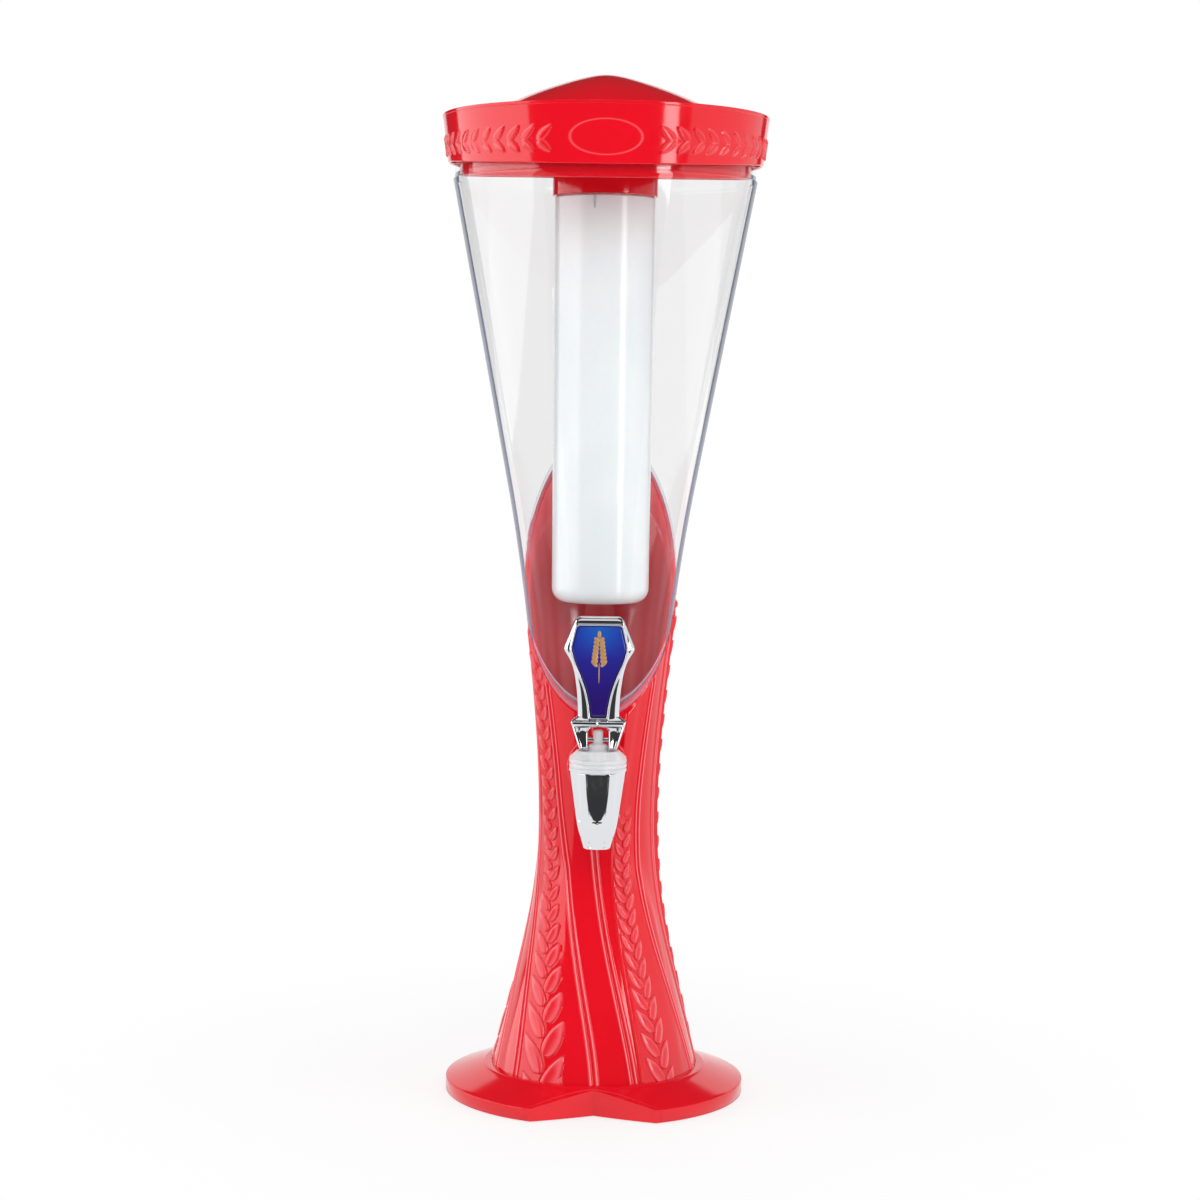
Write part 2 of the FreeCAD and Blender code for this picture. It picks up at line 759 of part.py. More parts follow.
def foot_round(reach):
    """Quarter round at the ice tube's foot."""
    middle = Vector(tube_foot_radius - tube_foot_round, 0, tube_foot_z + tube_foot_round)
    ends = [middle - Vector(0, 0, reach), middle + Vector(reach, 0, 0)]
    halfway = middle + Vector(reach, 0, -reach) * math.sqrt(0.5)
    return Part.Arc(ends[0], halfway, ends[1]).toShape()


def ice_tube():
    """Closed tube with a stepped neck, held in the collar by its lugs."""
    shoulder_z = collar_foot_z - slip_gap
    top_z = shoulder_z + neck_height
    neck = neck_radius()
    wall = tube_wall
    round_z = tube_foot_z + tube_foot_round
    side = polyline([
        (tube_foot_radius, 0, round_z), (tube_top_radius, 0, shoulder_z - shoulder_bevel),
        (tube_top_radius - shoulder_bevel, 0, shoulder_z), (neck, 0, shoulder_z), (neck, 0, top_z),
        (neck - wall, 0, top_z), (neck - wall, 0, shoulder_z - wall),
        (tube_top_radius - wall, 0, shoulder_z - 2 * wall), (tube_foot_radius - wall, 0, round_z)])
    flat = tube_foot_radius - tube_foot_round
    foot = polyline([(flat, 0, tube_foot_z + wall), (0, 0, tube_foot_z + wall), (0, 0, tube_foot_z),
                     (flat, 0, tube_foot_z)])
    tube = turned(side + foot + [foot_round(tube_foot_round), foot_round(tube_foot_round - wall)])
    lugs = [ring_sector(neck - wall / 2, neck + slip_gap + lug_depth, lug_z, lug_z + lug_height, azimuth,
                        lug_half_angle) for azimuth in lug_azimuths()]
    return one_solid(join(tube, lugs + [lock_mark(shoulder_z - shoulder_bevel)]))


def lock_mark(top_z):
    """Wedge under the collar that shows when the tube is locked."""
    root = tube_top_radius - tube_wall / 2
    face = Part.Face(Part.makePolygon([
        Vector(-mark_width / 2, -root, top_z), Vector(-mark_width / 2, -tube_top_radius - mark_depth, top_z),
        Vector(-mark_width / 2, -root, top_z - mark_height), Vector(-mark_width / 2, -root, top_z)]))
    mark = face.extrude(Vector(mark_width, 0, 0))
    mark.rotate(ORIGIN, UP, mark_azimuth)
    return mark


# ---------------------------------------------------------------- tap
def tap_body():
    """Clear body: ribbed head, valve chamber, outlet tube and the threaded shank."""
    bevel = head_radius - head_bevel
    wall_top = head_top_z - head_bevel_height
    groove = head_radius - head_groove
    outline = [(chamber_radius, chamber_top_z), (chamber_radius, chamber_floor_z),
               (outlet_bore, chamber_floor_z), (outlet_bore, outlet_tube_foot_z),
               (outlet_tube_radius, outlet_tube_foot_z),
               (outlet_tube_radius, chamber_tube_foot_z), (chamber_tube_radius, chamber_tube_foot_z),
               (chamber_tube_radius, head_foot_z), (head_radius, head_foot_z)]
    pitch = (wall_top - head_foot_z) / head_groove_count
    for index in range(head_groove_count):
        low = head_foot_z + pitch * index
        outline += [(head_radius, low + pitch * head_land), (groove, low + pitch * (1 + head_land) / 2),
                    (head_radius, low + pitch)]
    outline += [(bevel, head_top_z), (gland_radius + running_gap, head_top_z),
                (gland_radius + running_gap, chamber_top_z)]
    head = turned_points(outline, 0, tap_y)
    flange_y = tap_y + head_radius - shank_flange_bite
    flange = level_rod(shank_flange_radius, flange_y, boss_face_y - outer_washer)
    shank = level_rod(shank_radius, tap_y + chamber_radius, shank_end_y)
    chamber = post(chamber_radius, chamber_floor_z, chamber_top_z, 0, tap_y)
    body = join(head, [flange, shank])
    return one_solid(body.cut(chamber).cut(level_rod(shank_bore, tap_y, shank_end_y)))


def shroud_curve():
    points = [Vector(shroud_rim_radius, 0, head_foot_z - seat_gap)]
    points += [Vector(radius, 0, z) for z, radius in shroud_stations]
    points.append(Vector(shroud_waist_radius, 0, shroud_waist_z))
    curve = Part.BSplineCurve()
    curve.interpolate(Points=points)
    return curve.toShape()


def spout_shroud():
    """Faceted shell round the valve chamber, ending in the spout's mouth."""
    rim_top = head_foot_z - seat_gap
    bore = chamber_tube_radius + seat_gap
    step_z = chamber_tube_foot_z - seat_gap
    throat = outlet_tube_radius + seat_gap
    corners = [(shroud_waist_radius, shroud_waist_z),
               (shroud_mouth_radius + shroud_mouth_round / 2, shroud_mouth_z + shroud_mouth_round),
               (shroud_mouth_radius, shroud_mouth_z), (throat, shroud_mouth_z), (throat, step_z),
               (bore, step_z), (bore, rim_top), (shroud_rim_radius, rim_top)]
    shell = turned([shroud_curve()] + polyline([(radius, 0, z) for radius, z in corners]), 0, tap_y)
    lean = math.degrees(math.atan2(facet_rim_distance - facet_point_distance, rim_top - facet_point_z))
    cuts = []
    size = 8 * shroud_rim_radius
    for azimuth in around(facet_count):
        facet = Part.makeBox(size, size, size, Vector(-size / 2, -size, 0))
        facet.translate(Vector(0, 0, -size / 2))
        facet.rotate(ORIGIN, RIGHT, lean)
        facet.translate(Vector(0, -facet_rim_distance, rim_top))
        facet.rotate(ORIGIN, UP, azimuth)
        facet.translate(Vector(0, tap_y, 0))
        cuts.append(facet)
    back_y = tap_y + 2 * shroud_rim_radius
    cuts.append(level_rod(shank_radius + slip_gap, tap_y, back_y))
    cuts.append(level_rod(shank_flange_radius + slip_gap, tap_y + chamber_tube_radius, back_y))
    return one_solid(shell.cut(Part.makeCompound(cuts)))


def gland_low_z():
    return chamber_top_z + seat_gap


def gland_cap_z():
    return head_top_z + seat_gap / 2


def gland_groove_z():
    """Foot of the groove that holds the gland's seal."""
    return blend(gland_low_z(), gland_cap_z(), gland_groove_share)


def valve_gland():
    """Plug that closes the chamber and guides the stem."""
    low_z = gland_low_z()
    bore = stem_radius + running_gap
    pocket = bore + stem_seal_depth
    groove = gland_radius - seal_depth
    groove_z = gland_groove_z()
    dome_low = gland_cap_z() + gland_cap_height
    dome_top = dome_low + gland_dome_height
    land = bore + gland_dome_land
    dome = Part.Arc(Vector(gland_cap_radius, 0, dome_low),
                    Vector(blend(land, gland_cap_radius, math.sqrt(0.5)), 0,
                           blend(dome_low, dome_top, math.sqrt(0.5))),
                    Vector(land, 0, dome_top)).toShape()
    rest_of_outline = polyline([(radius, 0, z) for radius, z in [
        (land, dome_top), (bore, dome_top), (bore, low_z + seal_height), (pocket, low_z + seal_height),
        (pocket, low_z), (gland_radius, low_z), (gland_radius, groove_z), (groove, groove_z),
        (groove, groove_z + seal_height), (gland_radius, groove_z + seal_height),
        (gland_radius, gland_cap_z()), (gland_cap_radius, gland_cap_z()), (gland_cap_radius, dome_low)]])
    return turned(rest_of_outline + [dome], 0, tap_y)


def seal_ring(inner_radius, outer_radius, low_z):
    """Rubber ring with bevelled corners."""
    high_z = low_z + seal_height
    return turned_points([
        (inner_radius + seal_corner, low_z), (outer_radius - seal_corner, low_z),
        (outer_radius, low_z + seal_corner), (outer_radius, high_z - seal_corner),
        (outer_radius - seal_corner, high_z),
        (inner_radius + seal_corner, high_z), (inner_radius, high_z - seal_corner),
        (inner_radius, low_z + seal_corner)], 0, tap_y)


def gland_seal():
    return seal_ring(gland_radius - seal_depth, gland_radius + running_gap, gland_groove_z())


def stem_seal():
    bore = stem_radius + running_gap
    return seal_ring(bore, bore + stem_seal_depth, gland_low_z())


def pin_rod(radius, half_length):
    """Level rod along the pin's axis."""
    return Part.makeCylinder(radius, 2 * half_length, Vector(-half_length, tap_y, pin_z), RIGHT)


def barb_outline():
    """Barbed foot of the stem, which the rubber cup is pushed over."""
    foot_z = chamber_floor_z + stem_foot_gap
    return [(0, foot_z), (barb_radius - barb_bevel, foot_z), (barb_radius, foot_z + barb_bevel),
            (barb_radius, foot_z + barb_height)]


def valve_stem():
    """Rod with a collar under the spring, a barb for the rubber cup and an eye for the pin."""
    collar_top = spring_collar_z + spring_collar_height
    barb = barb_outline()
    rod = turned_points(barb + [
        (stem_radius, barb[-1][1]), (stem_radius, spring_collar_z), (spring_collar_radius, spring_collar_z),
        (spring_collar_radius, collar_top), (stem_radius, collar_top), (stem_radius, stem_top_z - stem_bevel),
        (stem_radius - stem_bevel, stem_top_z), (0, stem_top_z)], 0, tap_y)
    return one_solid(rod.cut(pin_rod(pin_radius + running_gap, head_radius)))


def valve_cup():
    """Rubber cup on the stem's foot that closes the outlet."""
    low_z = chamber_floor_z + seat_gap
    high_z = low_z + valve_cup_height
    nose = outlet_bore - valve_nose_gap
    cup = turned_points([
        (0, low_z - valve_nose_depth), (nose - valve_nose_depth, low_z - valve_nose_depth), (nose, low_z),
        (valve_cup_radius, low_z), (valve_cup_radius, low_z + valve_cup_lip),
        (valve_cup_radius - valve_cup_bevel, high_z), (0, high_z)], 0, tap_y)
    barb = barb_outline()
    pocket = turned_points(barb + [(0, barb[-1][1])], 0, tap_y)
    socket = post(stem_radius, chamber_floor_z + stem_foot_gap, high_z, 0, tap_y)
    return one_solid(cup.cut(socket.fuse(pocket)))


def spring_ends():
    return spring_collar_z + spring_collar_height, gland_low_z()


def return_spring():
    """Coil between the stem's collar and the gland: it keeps the valve shut."""
    low_z, high_z = spring_ends()
    height = high_z - low_z - 2 * spring_wire
    path = Part.makeHelix(height / spring_turns, height, spring_radius)
    corners = []
    for angle in around(wire_sides):
        turn = math.radians(angle)
        corners.append(Vector(spring_radius + spring_wire * math.cos(turn), 0, spring_wire * math.sin(turn)))
    section = Part.makePolygon(corners + corners[:1])
    coil = Part.Wire(path).makePipeShell([section], True, True)
    coil.translate(Vector(0, tap_y, low_z + spring_wire))
    return coil


def washer(radius, thickness, front_y):
    bore = level_rod(shank_radius + running_gap, front_y, front_y + thickness)
    return level_rod(radius, front_y, front_y + thickness).cut(bore)


def shank_outer_washer():
    return washer(outer_washer_radius, outer_washer, boss_face_y - outer_washer)


def shank_inner_washer():
    return washer(inner_washer_radius, inner_washer, tank_pad_y)


def shank_nut():
    """Six-sided nut inside the tank: it clamps tank and column to the tap."""
    low_y = tank_pad_y + inner_washer
    high_y = low_y + nut_thickness
    corner = nut_flats / math.sqrt(3)
    corners = []
    for angle in around(6):
        turn = math.radians(angle)
        corners.append(Vector(corner * math.cos(turn), low_y, shank_z + corner * math.sin(turn)))
    blank = Part.Face(Part.makePolygon(corners + corners[:1])).extrude(Vector(0, nut_thickness, 0))
    bevel = Part.makeCone(corner + nut_bevel_depth, nut_flats / 2 - nut_bevel_depth, nut_bevel,
                          Vector(0, high_y - nut_bevel, shank_z), BACK)
    rounded = bevel.fuse(level_rod(corner + nut_bevel_depth, low_y, high_y - nut_bevel))
    return one_solid(blank.common(rounded).cut(level_rod(shank_radius + running_gap, low_y, high_y)))


# ---------------------------------------------------------------- handle
def outline_face(points, bows, y):
    """Mirror-image outline in the XZ plane: right-hand points from top to foot, one bow for each side."""
    right = [Vector(x, y, z) for x, z in points]
    left = [Vector(-point.x, y, point.z) for point in reversed(right)]
    edges = [Part.makeLine(left[-1], right[0])]
    for side, side_bows in ((right, bows), (left, bows[::-1])):
        for start, end, bow in zip(side, side[1:], side_bows):
            if bow:
                inward = Vector(-math.copysign(bow, start.x), 0, 0)
                edges.append(Part.Arc(start, (start + end) * 0.5 + inward, end).toShape())
            else:
                edges.append(Part.makeLine(start, end))
    edges.append(Part.makeLine(right[-1], left[0]))
    return Part.Wire(Part.__sortEdges__(edges))


def paddle_outline(margin, y):
    top_half = paddle_top_half - margin
    top_z = paddle_top_z - margin
    waist_half = paddle_waist_half - margin
    points = [(top_half - paddle_corner, top_z), (top_half, top_z - paddle_corner),
              (paddle_wide_half - margin, paddle_wide_z), (waist_half, paddle_waist_z),
              (waist_half, fork_tip_z - fork_root / 2)]
    return outline_face(points, [0, 0, paddle_side_bow, 0], y)


def label_outline(margin, y):
    points = [(label_top_half + margin, label_top_z + margin), (label_wide_half + margin, paddle_wide_z),
              (label_foot_half + margin, label_foot_z - margin)]
    return outline_face(points, [0, label_side_bow], y)


def paddle():
    """Upper grip: straight sides at the back, bevelled towards the front."""
    front_y = tap_y - handle_half_depth
    back_y = tap_y + handle_half_depth
    belt_y = front_y + paddle_bevel
    rear_y = back_y - paddle_bevel
    back = Part.makeLoft([paddle_outline(paddle_bevel / 2, back_y), paddle_outline(0, rear_y)], True, True)
    middle = Part.Face(paddle_outline(0, belt_y)).extrude(Vector(0, rear_y - belt_y, 0))
    front = Part.makeLoft([paddle_outline(0, belt_y), paddle_outline(paddle_bevel, front_y)], True, True)
    return join(middle, [back, front])


def heel_profile():
    """Side outline of the fork: flat heels that run on into a cam.

    The cam is the envelope of level lines whose distance from the pin grows evenly with the tilt."""
    rest = pin_z - head_top_z - heel_gap
    cam = []
    travel = math.radians(handle_travel + cam_overrun)
    for step in range(cam_steps + 1):
        tilt = travel * step / cam_steps
        reach = rest + lift_per_radian * tilt
        y = -reach * math.sin(tilt) - lift_per_radian * math.cos(tilt)
        z = -reach * math.cos(tilt) + lift_per_radian * math.sin(tilt)
        cam.append(Vector(0, tap_y + y, pin_z + z))
    curve = Part.BSplineCurve()
    curve.interpolate(Points=cam)
    top_z = fork_tip_z + fork_root
    front_y = tap_y - handle_half_depth
    heel_y = tap_y + heel_back
    nose = cam[-1]
    rest_of_outline = Part.makePolygon([
        nose, nose + Vector(0, heel_bevel / 2, 2 * heel_bevel),
        Vector(0, front_y - heel_bevel / 2, fork_tip_z), Vector(0, front_y, top_z),
        Vector(0, tap_y + handle_half_depth, top_z),
        Vector(0, heel_y, pin_z - rest + heel_bevel), Vector(0, heel_y - heel_bevel, pin_z - rest), cam[0]])
    return Part.Face(Part.Wire([curve.toShape()] + rest_of_outline.Edges))


def fork():
    """Flared block that splits into two legs beside the stem."""
    foot_z = pin_z - 2 * lift_per_radian
    width = 2 * fork_tip_half
    side = heel_profile().extrude(Vector(width, 0, 0))
    side.translate(Vector(-width / 2, 0, 0))
    leg_foot_z = head_top_z + lift_per_radian / 2
    points = [(paddle_waist_half, fork_tip_z + fork_root), (fork_tip_half, fork_tip_z),
              (fork_foot_half + fork_leg_flare, leg_foot_z), (fork_foot_half, foot_z)]
    front_y = tap_y - 2 * head_radius
    through = Vector(0, 4 * head_radius, 0)
    front = Part.Face(outline_face(points, [0, fork_leg_bow, 0], front_y)).extrude(through)
    half = fork_half_gap
    window_foot_z = foot_z - fork_root
    window = Part.Face(Part.makePolygon([
        Vector(half, front_y, window_foot_z), Vector(half, front_y, fork_bar_z - fork_chamfer),
        Vector(half - fork_chamfer, front_y, fork_bar_z), Vector(fork_chamfer - half, front_y, fork_bar_z),
        Vector(-half, front_y, fork_bar_z - fork_chamfer), Vector(-half, front_y, window_foot_z),
        Vector(half, front_y, window_foot_z)])).extrude(through)
    return side.common(front).cut(window)


def tap_handle():
    floor_y = tap_y - handle_half_depth + label_sink + label_thickness
    front_y = floor_y - handle_half_depth
    recess = Part.Face(label_outline(slip_gap / 2, front_y)).extrude(Vector(0, floor_y - front_y, 0))
    return one_solid(paddle().fuse(fork()).cut(recess).cut(pin_rod(pin_radius, fork_tip_half)))


def handle_label():
    low_y = tap_y - handle_half_depth + label_sink
    return Part.Face(label_outline(0, low_y)).extrude(Vector(0, label_thickness, 0))


def handle_pin():
    return pin_rod(pin_radius, fork_foot_half + pin_proud)


# ---------------------------------------------------------------- all the pieces
pieces = {
    "base_flange": base_flange, "base_screws": base_screws, "rubber_feet": rubber_feet, "column": column,
    "tank": tank, "lid": lid, "ice_tube": ice_tube, "tap_body": tap_body, "spout_shroud": spout_shroud,
    "valve_gland": valve_gland, "gland_seal": gland_seal, "stem_seal": stem_seal, "valve_stem": valve_stem,
    "valve_cup": valve_cup, "return_spring": return_spring, "shank_outer_washer": shank_outer_washer,
    "shank_inner_washer": shank_inner_washer, "shank_nut": shank_nut, "tap_handle": tap_handle,
    "handle_label": handle_label, "handle_pin": handle_pin,
}
os.makedirs("parts", exist_ok=True)
for name, make in pieces.items():
    shape = make()
    shape.exportStep("parts/" + name + ".step")
    print(name, shape.ShapeType, len(shape.Solids), round(shape.Volume, 1), shape.isValid())
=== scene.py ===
import math

import bpy
import numpy as np
from mathutils import Matrix, Vector


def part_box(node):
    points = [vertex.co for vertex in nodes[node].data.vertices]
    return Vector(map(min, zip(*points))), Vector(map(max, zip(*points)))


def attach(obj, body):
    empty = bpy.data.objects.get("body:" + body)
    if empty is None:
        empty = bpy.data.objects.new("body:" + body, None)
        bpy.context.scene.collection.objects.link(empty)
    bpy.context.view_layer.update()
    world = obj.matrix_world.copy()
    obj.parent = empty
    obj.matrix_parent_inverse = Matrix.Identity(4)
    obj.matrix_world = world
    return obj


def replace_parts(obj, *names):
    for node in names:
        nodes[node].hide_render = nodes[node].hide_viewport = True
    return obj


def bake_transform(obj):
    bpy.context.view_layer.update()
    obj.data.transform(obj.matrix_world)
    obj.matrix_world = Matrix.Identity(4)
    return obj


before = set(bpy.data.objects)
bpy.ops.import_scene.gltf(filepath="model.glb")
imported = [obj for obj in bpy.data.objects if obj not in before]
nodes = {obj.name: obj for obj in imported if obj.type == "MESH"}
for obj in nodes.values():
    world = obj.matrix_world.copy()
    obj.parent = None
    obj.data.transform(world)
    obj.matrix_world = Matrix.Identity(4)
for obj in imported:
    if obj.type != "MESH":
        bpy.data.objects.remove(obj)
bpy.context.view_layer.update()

mm = 0.001  # shapes are worked out in millimetres and put into the meshes in metres


# small tools: numbers

def blendOf(start, end, share):  # straight run from start at share 0 to end at share 1
    return start + (end - start) * share


def held(value):  # kept between 0 and 1
    return np.clip(value, 0, 1)


def easedRun(share):  # half a cosine wave from 0 to 1, level outside
    return (1 - np.cos(np.pi * held(share))) / 2


def hill(offset, width):  # bell curve of height 1
    return np.exp(-(offset / width) ** 2)


def whereOver(isOver, low, high):
    # halves the stretch between low and high 40 times, down to the place where isOver turns true
    for _ in range(40):
        middle = (low + high) / 2
        over = isOver(middle)
        low, high = np.where(over, low, middle), np.where(over, middle, high)
    return low


def clampedSpline(places, values, startSlope, endSlope):
    # cubic curve through the stations with given slopes at both ends; returns a function of whole arrays
    x, y = np.array(places, float), np.array(values, float)
    h = np.diff(x)
    count = len(x)
    system = np.zeros((count, count))
    right = np.zeros(count)
    system[0, :2] = 2 * h[0], h[0]
    right[0] = 6 * ((y[1] - y[0]) / h[0] - startSlope)
    system[-1, -2:] = h[-1], 2 * h[-1]
    right[-1] = 6 * (endSlope - (y[-1] - y[-2]) / h[-1])
    for k in range(1, count - 1):
        system[k, k - 1:k + 2] = h[k - 1], 2 * (h[k - 1] + h[k]), h[k]
        right[k] = 6 * ((y[k + 1] - y[k]) / h[k] - (y[k] - y[k - 1]) / h[k - 1])
    bend = np.linalg.solve(system, right)

    def curve(at):
        at = np.asarray(at, float)
        k = np.clip(np.searchsorted(x, at) - 1, 0, count - 2)
        left, rest = at - x[k], x[k + 1] - at
        cubic = (bend[k] * rest ** 3 + bend[k + 1] * left ** 3) / (6 * h[k])
        line = (y[k] / h[k] - bend[k] * h[k] / 6) * rest + (y[k + 1] / h[k] - bend[k + 1] * h[k] / 6) * left
        return cubic + line

    return curve


# small tools: meshes

def gridQuads(rows, columns, closeAcross=True, closeAlong=False):
    # corner numbers of the face between each four neighbours of a grid
    index = np.arange(rows * columns).reshape(rows, columns)
    if closeAcross:
        index = np.concatenate([index, index[:, :1]], axis=1)
    if closeAlong:
        index = np.concatenate([index, index[:1]], axis=0)
    corners = index[:-1, :-1], index[:-1, 1:], index[1:, 1:], index[1:, :-1]
    return np.stack(corners, axis=-1).reshape(-1, 4)


def meshPiece(name, points, quads, body, finish, smooth=True, crest=None):
    # points in millimetres; crest is the share of painted highlight and painted light, 1 on the ridges; a
    # piece without a body is left unattached
    mesh = bpy.data.meshes.new(name)
    mesh.vertices.add(len(points))
    mesh.vertices.foreach_set("co", (np.asarray(points, np.float32) * mm).ravel())
    mesh.loops.add(quads.size)
    mesh.loops.foreach_set("vertex_index", quads.ravel().astype(np.int32))
    mesh.polygons.add(len(quads))
    mesh.polygons.foreach_set("loop_start", np.arange(0, quads.size, 4, dtype=np.int32))
    mesh.polygons.foreach_set("loop_total", np.full(len(quads), 4, np.int32))
    mesh.polygons.foreach_set("use_smooth", np.full(len(quads), smooth))
    if crest is not None:
        attribute = mesh.attributes.new("crest", "FLOAT", "POINT")
        attribute.data.foreach_set("value", crest.astype(np.float32).ravel())
    mesh.update(calc_edges=True)
    mesh.validate()
    piece = bpy.data.objects.new(name, mesh)
    bpy.context.scene.collection.objects.link(piece)
    mesh.materials.append(finish)
    if body:
        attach(piece, body)
    return piece


def gridPiece(name, points, body, finish, closeAcross=True, closeAlong=False, flip=False, crest=None):
    # points: rows by columns by xyz; a face joins each four neighbours
    quads = gridQuads(*points.shape[:2], closeAcross, closeAlong)
    if flip:
        quads = quads[:, ::-1]
    return meshPiece(name, points.reshape(-1, 3), quads, body, finish, crest=crest)


def ringPoint(radius, azimuth, height):
    # azimuth in degrees from the front (-Y), positive towards +X
    turn = np.radians(azimuth)
    return np.stack(np.broadcast_arrays(radius * np.sin(turn), -radius * np.cos(turn), height), axis=-1)


def sweptPiece(name, rows, azimuth, body, finish, closeAlong=False, crest=None):
    # rows of (radius, height) that differ from azimuth to azimuth, joined round the upright axis
    profile = np.concatenate(rows)
    points = ringPoint(profile[..., 0], azimuth, profile[..., 1])
    return gridPiece(name, points, body, finish, closeAlong=closeAlong, crest=crest)


def evenRows(corners, azimuth):  # the same (radius, height) at every azimuth, one row for each corner
    return np.array(corners)[:, None] + np.zeros((1, len(azimuth), 1))


def oneRow(radius, height):  # a single row whose radius or height changes with the azimuth
    return np.stack(np.broadcast_arrays(radius, height), -1)[None]


def softened(corners, cuts, steps=4, hold=0.5):
    # each corner becomes a short curve between points cut back along both sides,
    # with a holding point before and after it
    corner = np.asarray(corners, float)
    cut = np.broadcast_to(np.maximum(cuts, 0.02), len(corner))[1:-1, None, None]
    before, after = corner[:-2] - corner[1:-1], corner[2:] - corner[1:-1]
    reach = np.linalg.norm(before, axis=1)[:, None, None], np.linalg.norm(after, axis=1)[:, None, None]
    back = np.minimum(cut / reach[0], 0.42), np.minimum(cut / reach[1], 0.42)
    before, after, middle = before[:, None], after[:, None], corner[1:-1, None]
    t = np.linspace(0, 1, steps + 1)[None, :, None]
    bend = middle + before * back[0] * (1 - t) ** 2 + after * back[1] * t ** 2
    first = middle + before * np.minimum(back[0] * (1 + hold), 0.49)
    last = middle + after * np.minimum(back[1] * (1 + hold), 0.49)
    run = np.concatenate([first, bend, last], axis=1).reshape(-1, corner.shape[1])
    return np.concatenate([corner[:1], run, corner[-1:]])


def turnedPiece(name, profile, body, finish, columns=192, closed=False, level=False, centre=(0, 0)):
    # (radius, height) carried round the upright axis, or round the level one through the tap when level
    turn = np.linspace(0, 360, columns, endpoint=False)[None]
    points = ringPoint(profile[:, :1], turn, profile[:, 1:])
    if level:
        points = np.stack([points[..., 0], points[..., 2], -points[..., 1]], axis=-1)
    points = points + (np.array([centre[0], 0.0, centre[1]]) if level else np.array([*centre, 0.0]))
    return gridPiece(name, points, body, finish, closeAlong=closed, flip=level)


# small tools: shaders

def mathMethod(operation, swapped=False):
    # what a sign between two wires does; swapped when the wire stands on the right of a plain number
    def method(self, other):
        first, second = (other, self) if swapped else (self, other)
        return self.math(operation, first, second)

    return method


class Wire:
    # one output of a node: the signs + - * ** > and abs add Math nodes to the tree
    def __init__(self, paint, socket):
        self.paint, self.socket = paint, socket

    def math(self, operation, first, second=None):
        inputs = {0: first} if second is None else {0: first, 1: second}
        return self.paint.node("ShaderNodeMath", {"operation": operation}, inputs)

    __add__, __radd__ = mathMethod("ADD"), mathMethod("ADD", True)
    __sub__, __rsub__ = mathMethod("SUBTRACT"), mathMethod("SUBTRACT", True)
    __mul__, __rmul__ = mathMethod("MULTIPLY"), mathMethod("MULTIPLY", True)
    __pow__, __gt__, atLeast = mathMethod("POWER"), mathMethod("GREATER_THAN"), mathMethod("MAXIMUM")

    def __abs__(self):
        return self.math("ABSOLUTE", self)

    def ramped(self, low, high, start=0.0, end=1.0):  # smooth step from start to end
        return self.paint.node("ShaderNodeMapRange", {"interpolation_type": "SMOOTHSTEP"},
                               {0: self, 1: low, 2: high, 3: start, 4: end})


class Paint:
    # a node tree being filled; node() takes the type, its settings and its inputs
    def __init__(self, owner):
        self.owner = owner
        owner.use_nodes = True
        self.tree = owner.node_tree
        self.tree.nodes.clear()

    def node(self, kind, settings=None, inputs=None, output=0):
        made = self.tree.nodes.new(kind)
        for key, value in (settings or {}).items():
            setattr(made, key, value)
        for key, value in (inputs or {}).items():
            if isinstance(value, Wire):
                self.tree.links.new(value.socket, made.inputs[key])
            else:
                made.inputs[key].default_value = value
        return Wire(self, made.outputs[output])

    def place(self):  # Object coordinates, in metres
        return self.node("ShaderNodeTexCoord", output=3)

    def parts(self, vector):
        split = self.node("ShaderNodeSeparateXYZ", inputs={0: vector})
        return [Wire(self, out) for out in split.socket.node.outputs]

    def noise(self, scale, detail=2.0):
        inputs = {"Vector": self.place(), "Scale": scale, "Detail": detail}
        return self.node("ShaderNodeTexNoise", inputs=inputs)

    def facing(self):  # 0 seen square on, 1 seen edge on
        return self.node("ShaderNodeLayerWeight", inputs={"Blend": 0.5}, output=1)

    def rays(self, *outputs):  # 1 for any of these kinds of ray, by output number of the Light Path node
        share = self.node("ShaderNodeLightPath", output=outputs[0])
        for output in outputs[1:]:
            share = share.atLeast(self.node("ShaderNodeLightPath", output=output))
        return share

    def mixColour(self, share, first, second):  # first at share 0, second at share 1
        return self.node("ShaderNodeMix", {"data_type": "RGBA"}, {0: share, 6: first, 7: second}, output=2)

    def mixShader(self, share, first, second):  # first at share 0, second at share 1
        return self.node("ShaderNodeMixShader", inputs={0: share, 1: first, 2: second})

    def passing(self, haze):  # lets light through, darkened to this share
        return self.node("ShaderNodeBsdfTransparent", inputs={"Color": (haze, haze, haze, 1)})

    def bump(self, height, strength, distance, normal=None):
        inputs = {"Strength": strength, "Distance": distance, "Height": height}
        if normal:
            inputs["Normal"] = normal
        return self.node("ShaderNodeBump", inputs=inputs)

    def shader(self, **inputs):
        names = {key.replace("_", " "): value for key, value in inputs.items()}
        return self.node("ShaderNodeBsdfPrincipled", inputs=names)

    def finish(self, surface):
        isWorld = isinstance(self.owner, bpy.types.World)
        out = self.tree.nodes.new("ShaderNodeOutputWorld" if isWorld else "ShaderNodeOutputMaterial")
        self.tree.links.new(surface.socket, out.inputs[0])
        return self.owner


# outputs of the Light Path node
cameraRay, shadowRay, diffuseRay, glossyRay, transmittedRay = 0, 1, 2, 3, 6


def newPaint(name):
    return Paint(bpy.data.materials.new(name))


def colour(red, green, blue, gain=1.0):  # screen values 0 to 255 made linear, then times gain
    screen = [value / 255 for value in (red, green, blue)]
    linear = [c / 12.92 if c <= 0.04045 else ((c + 0.055) / 1.055) ** 2.4 for c in screen]
    return (*[c * gain for c in linear], 1.0)


# finishes

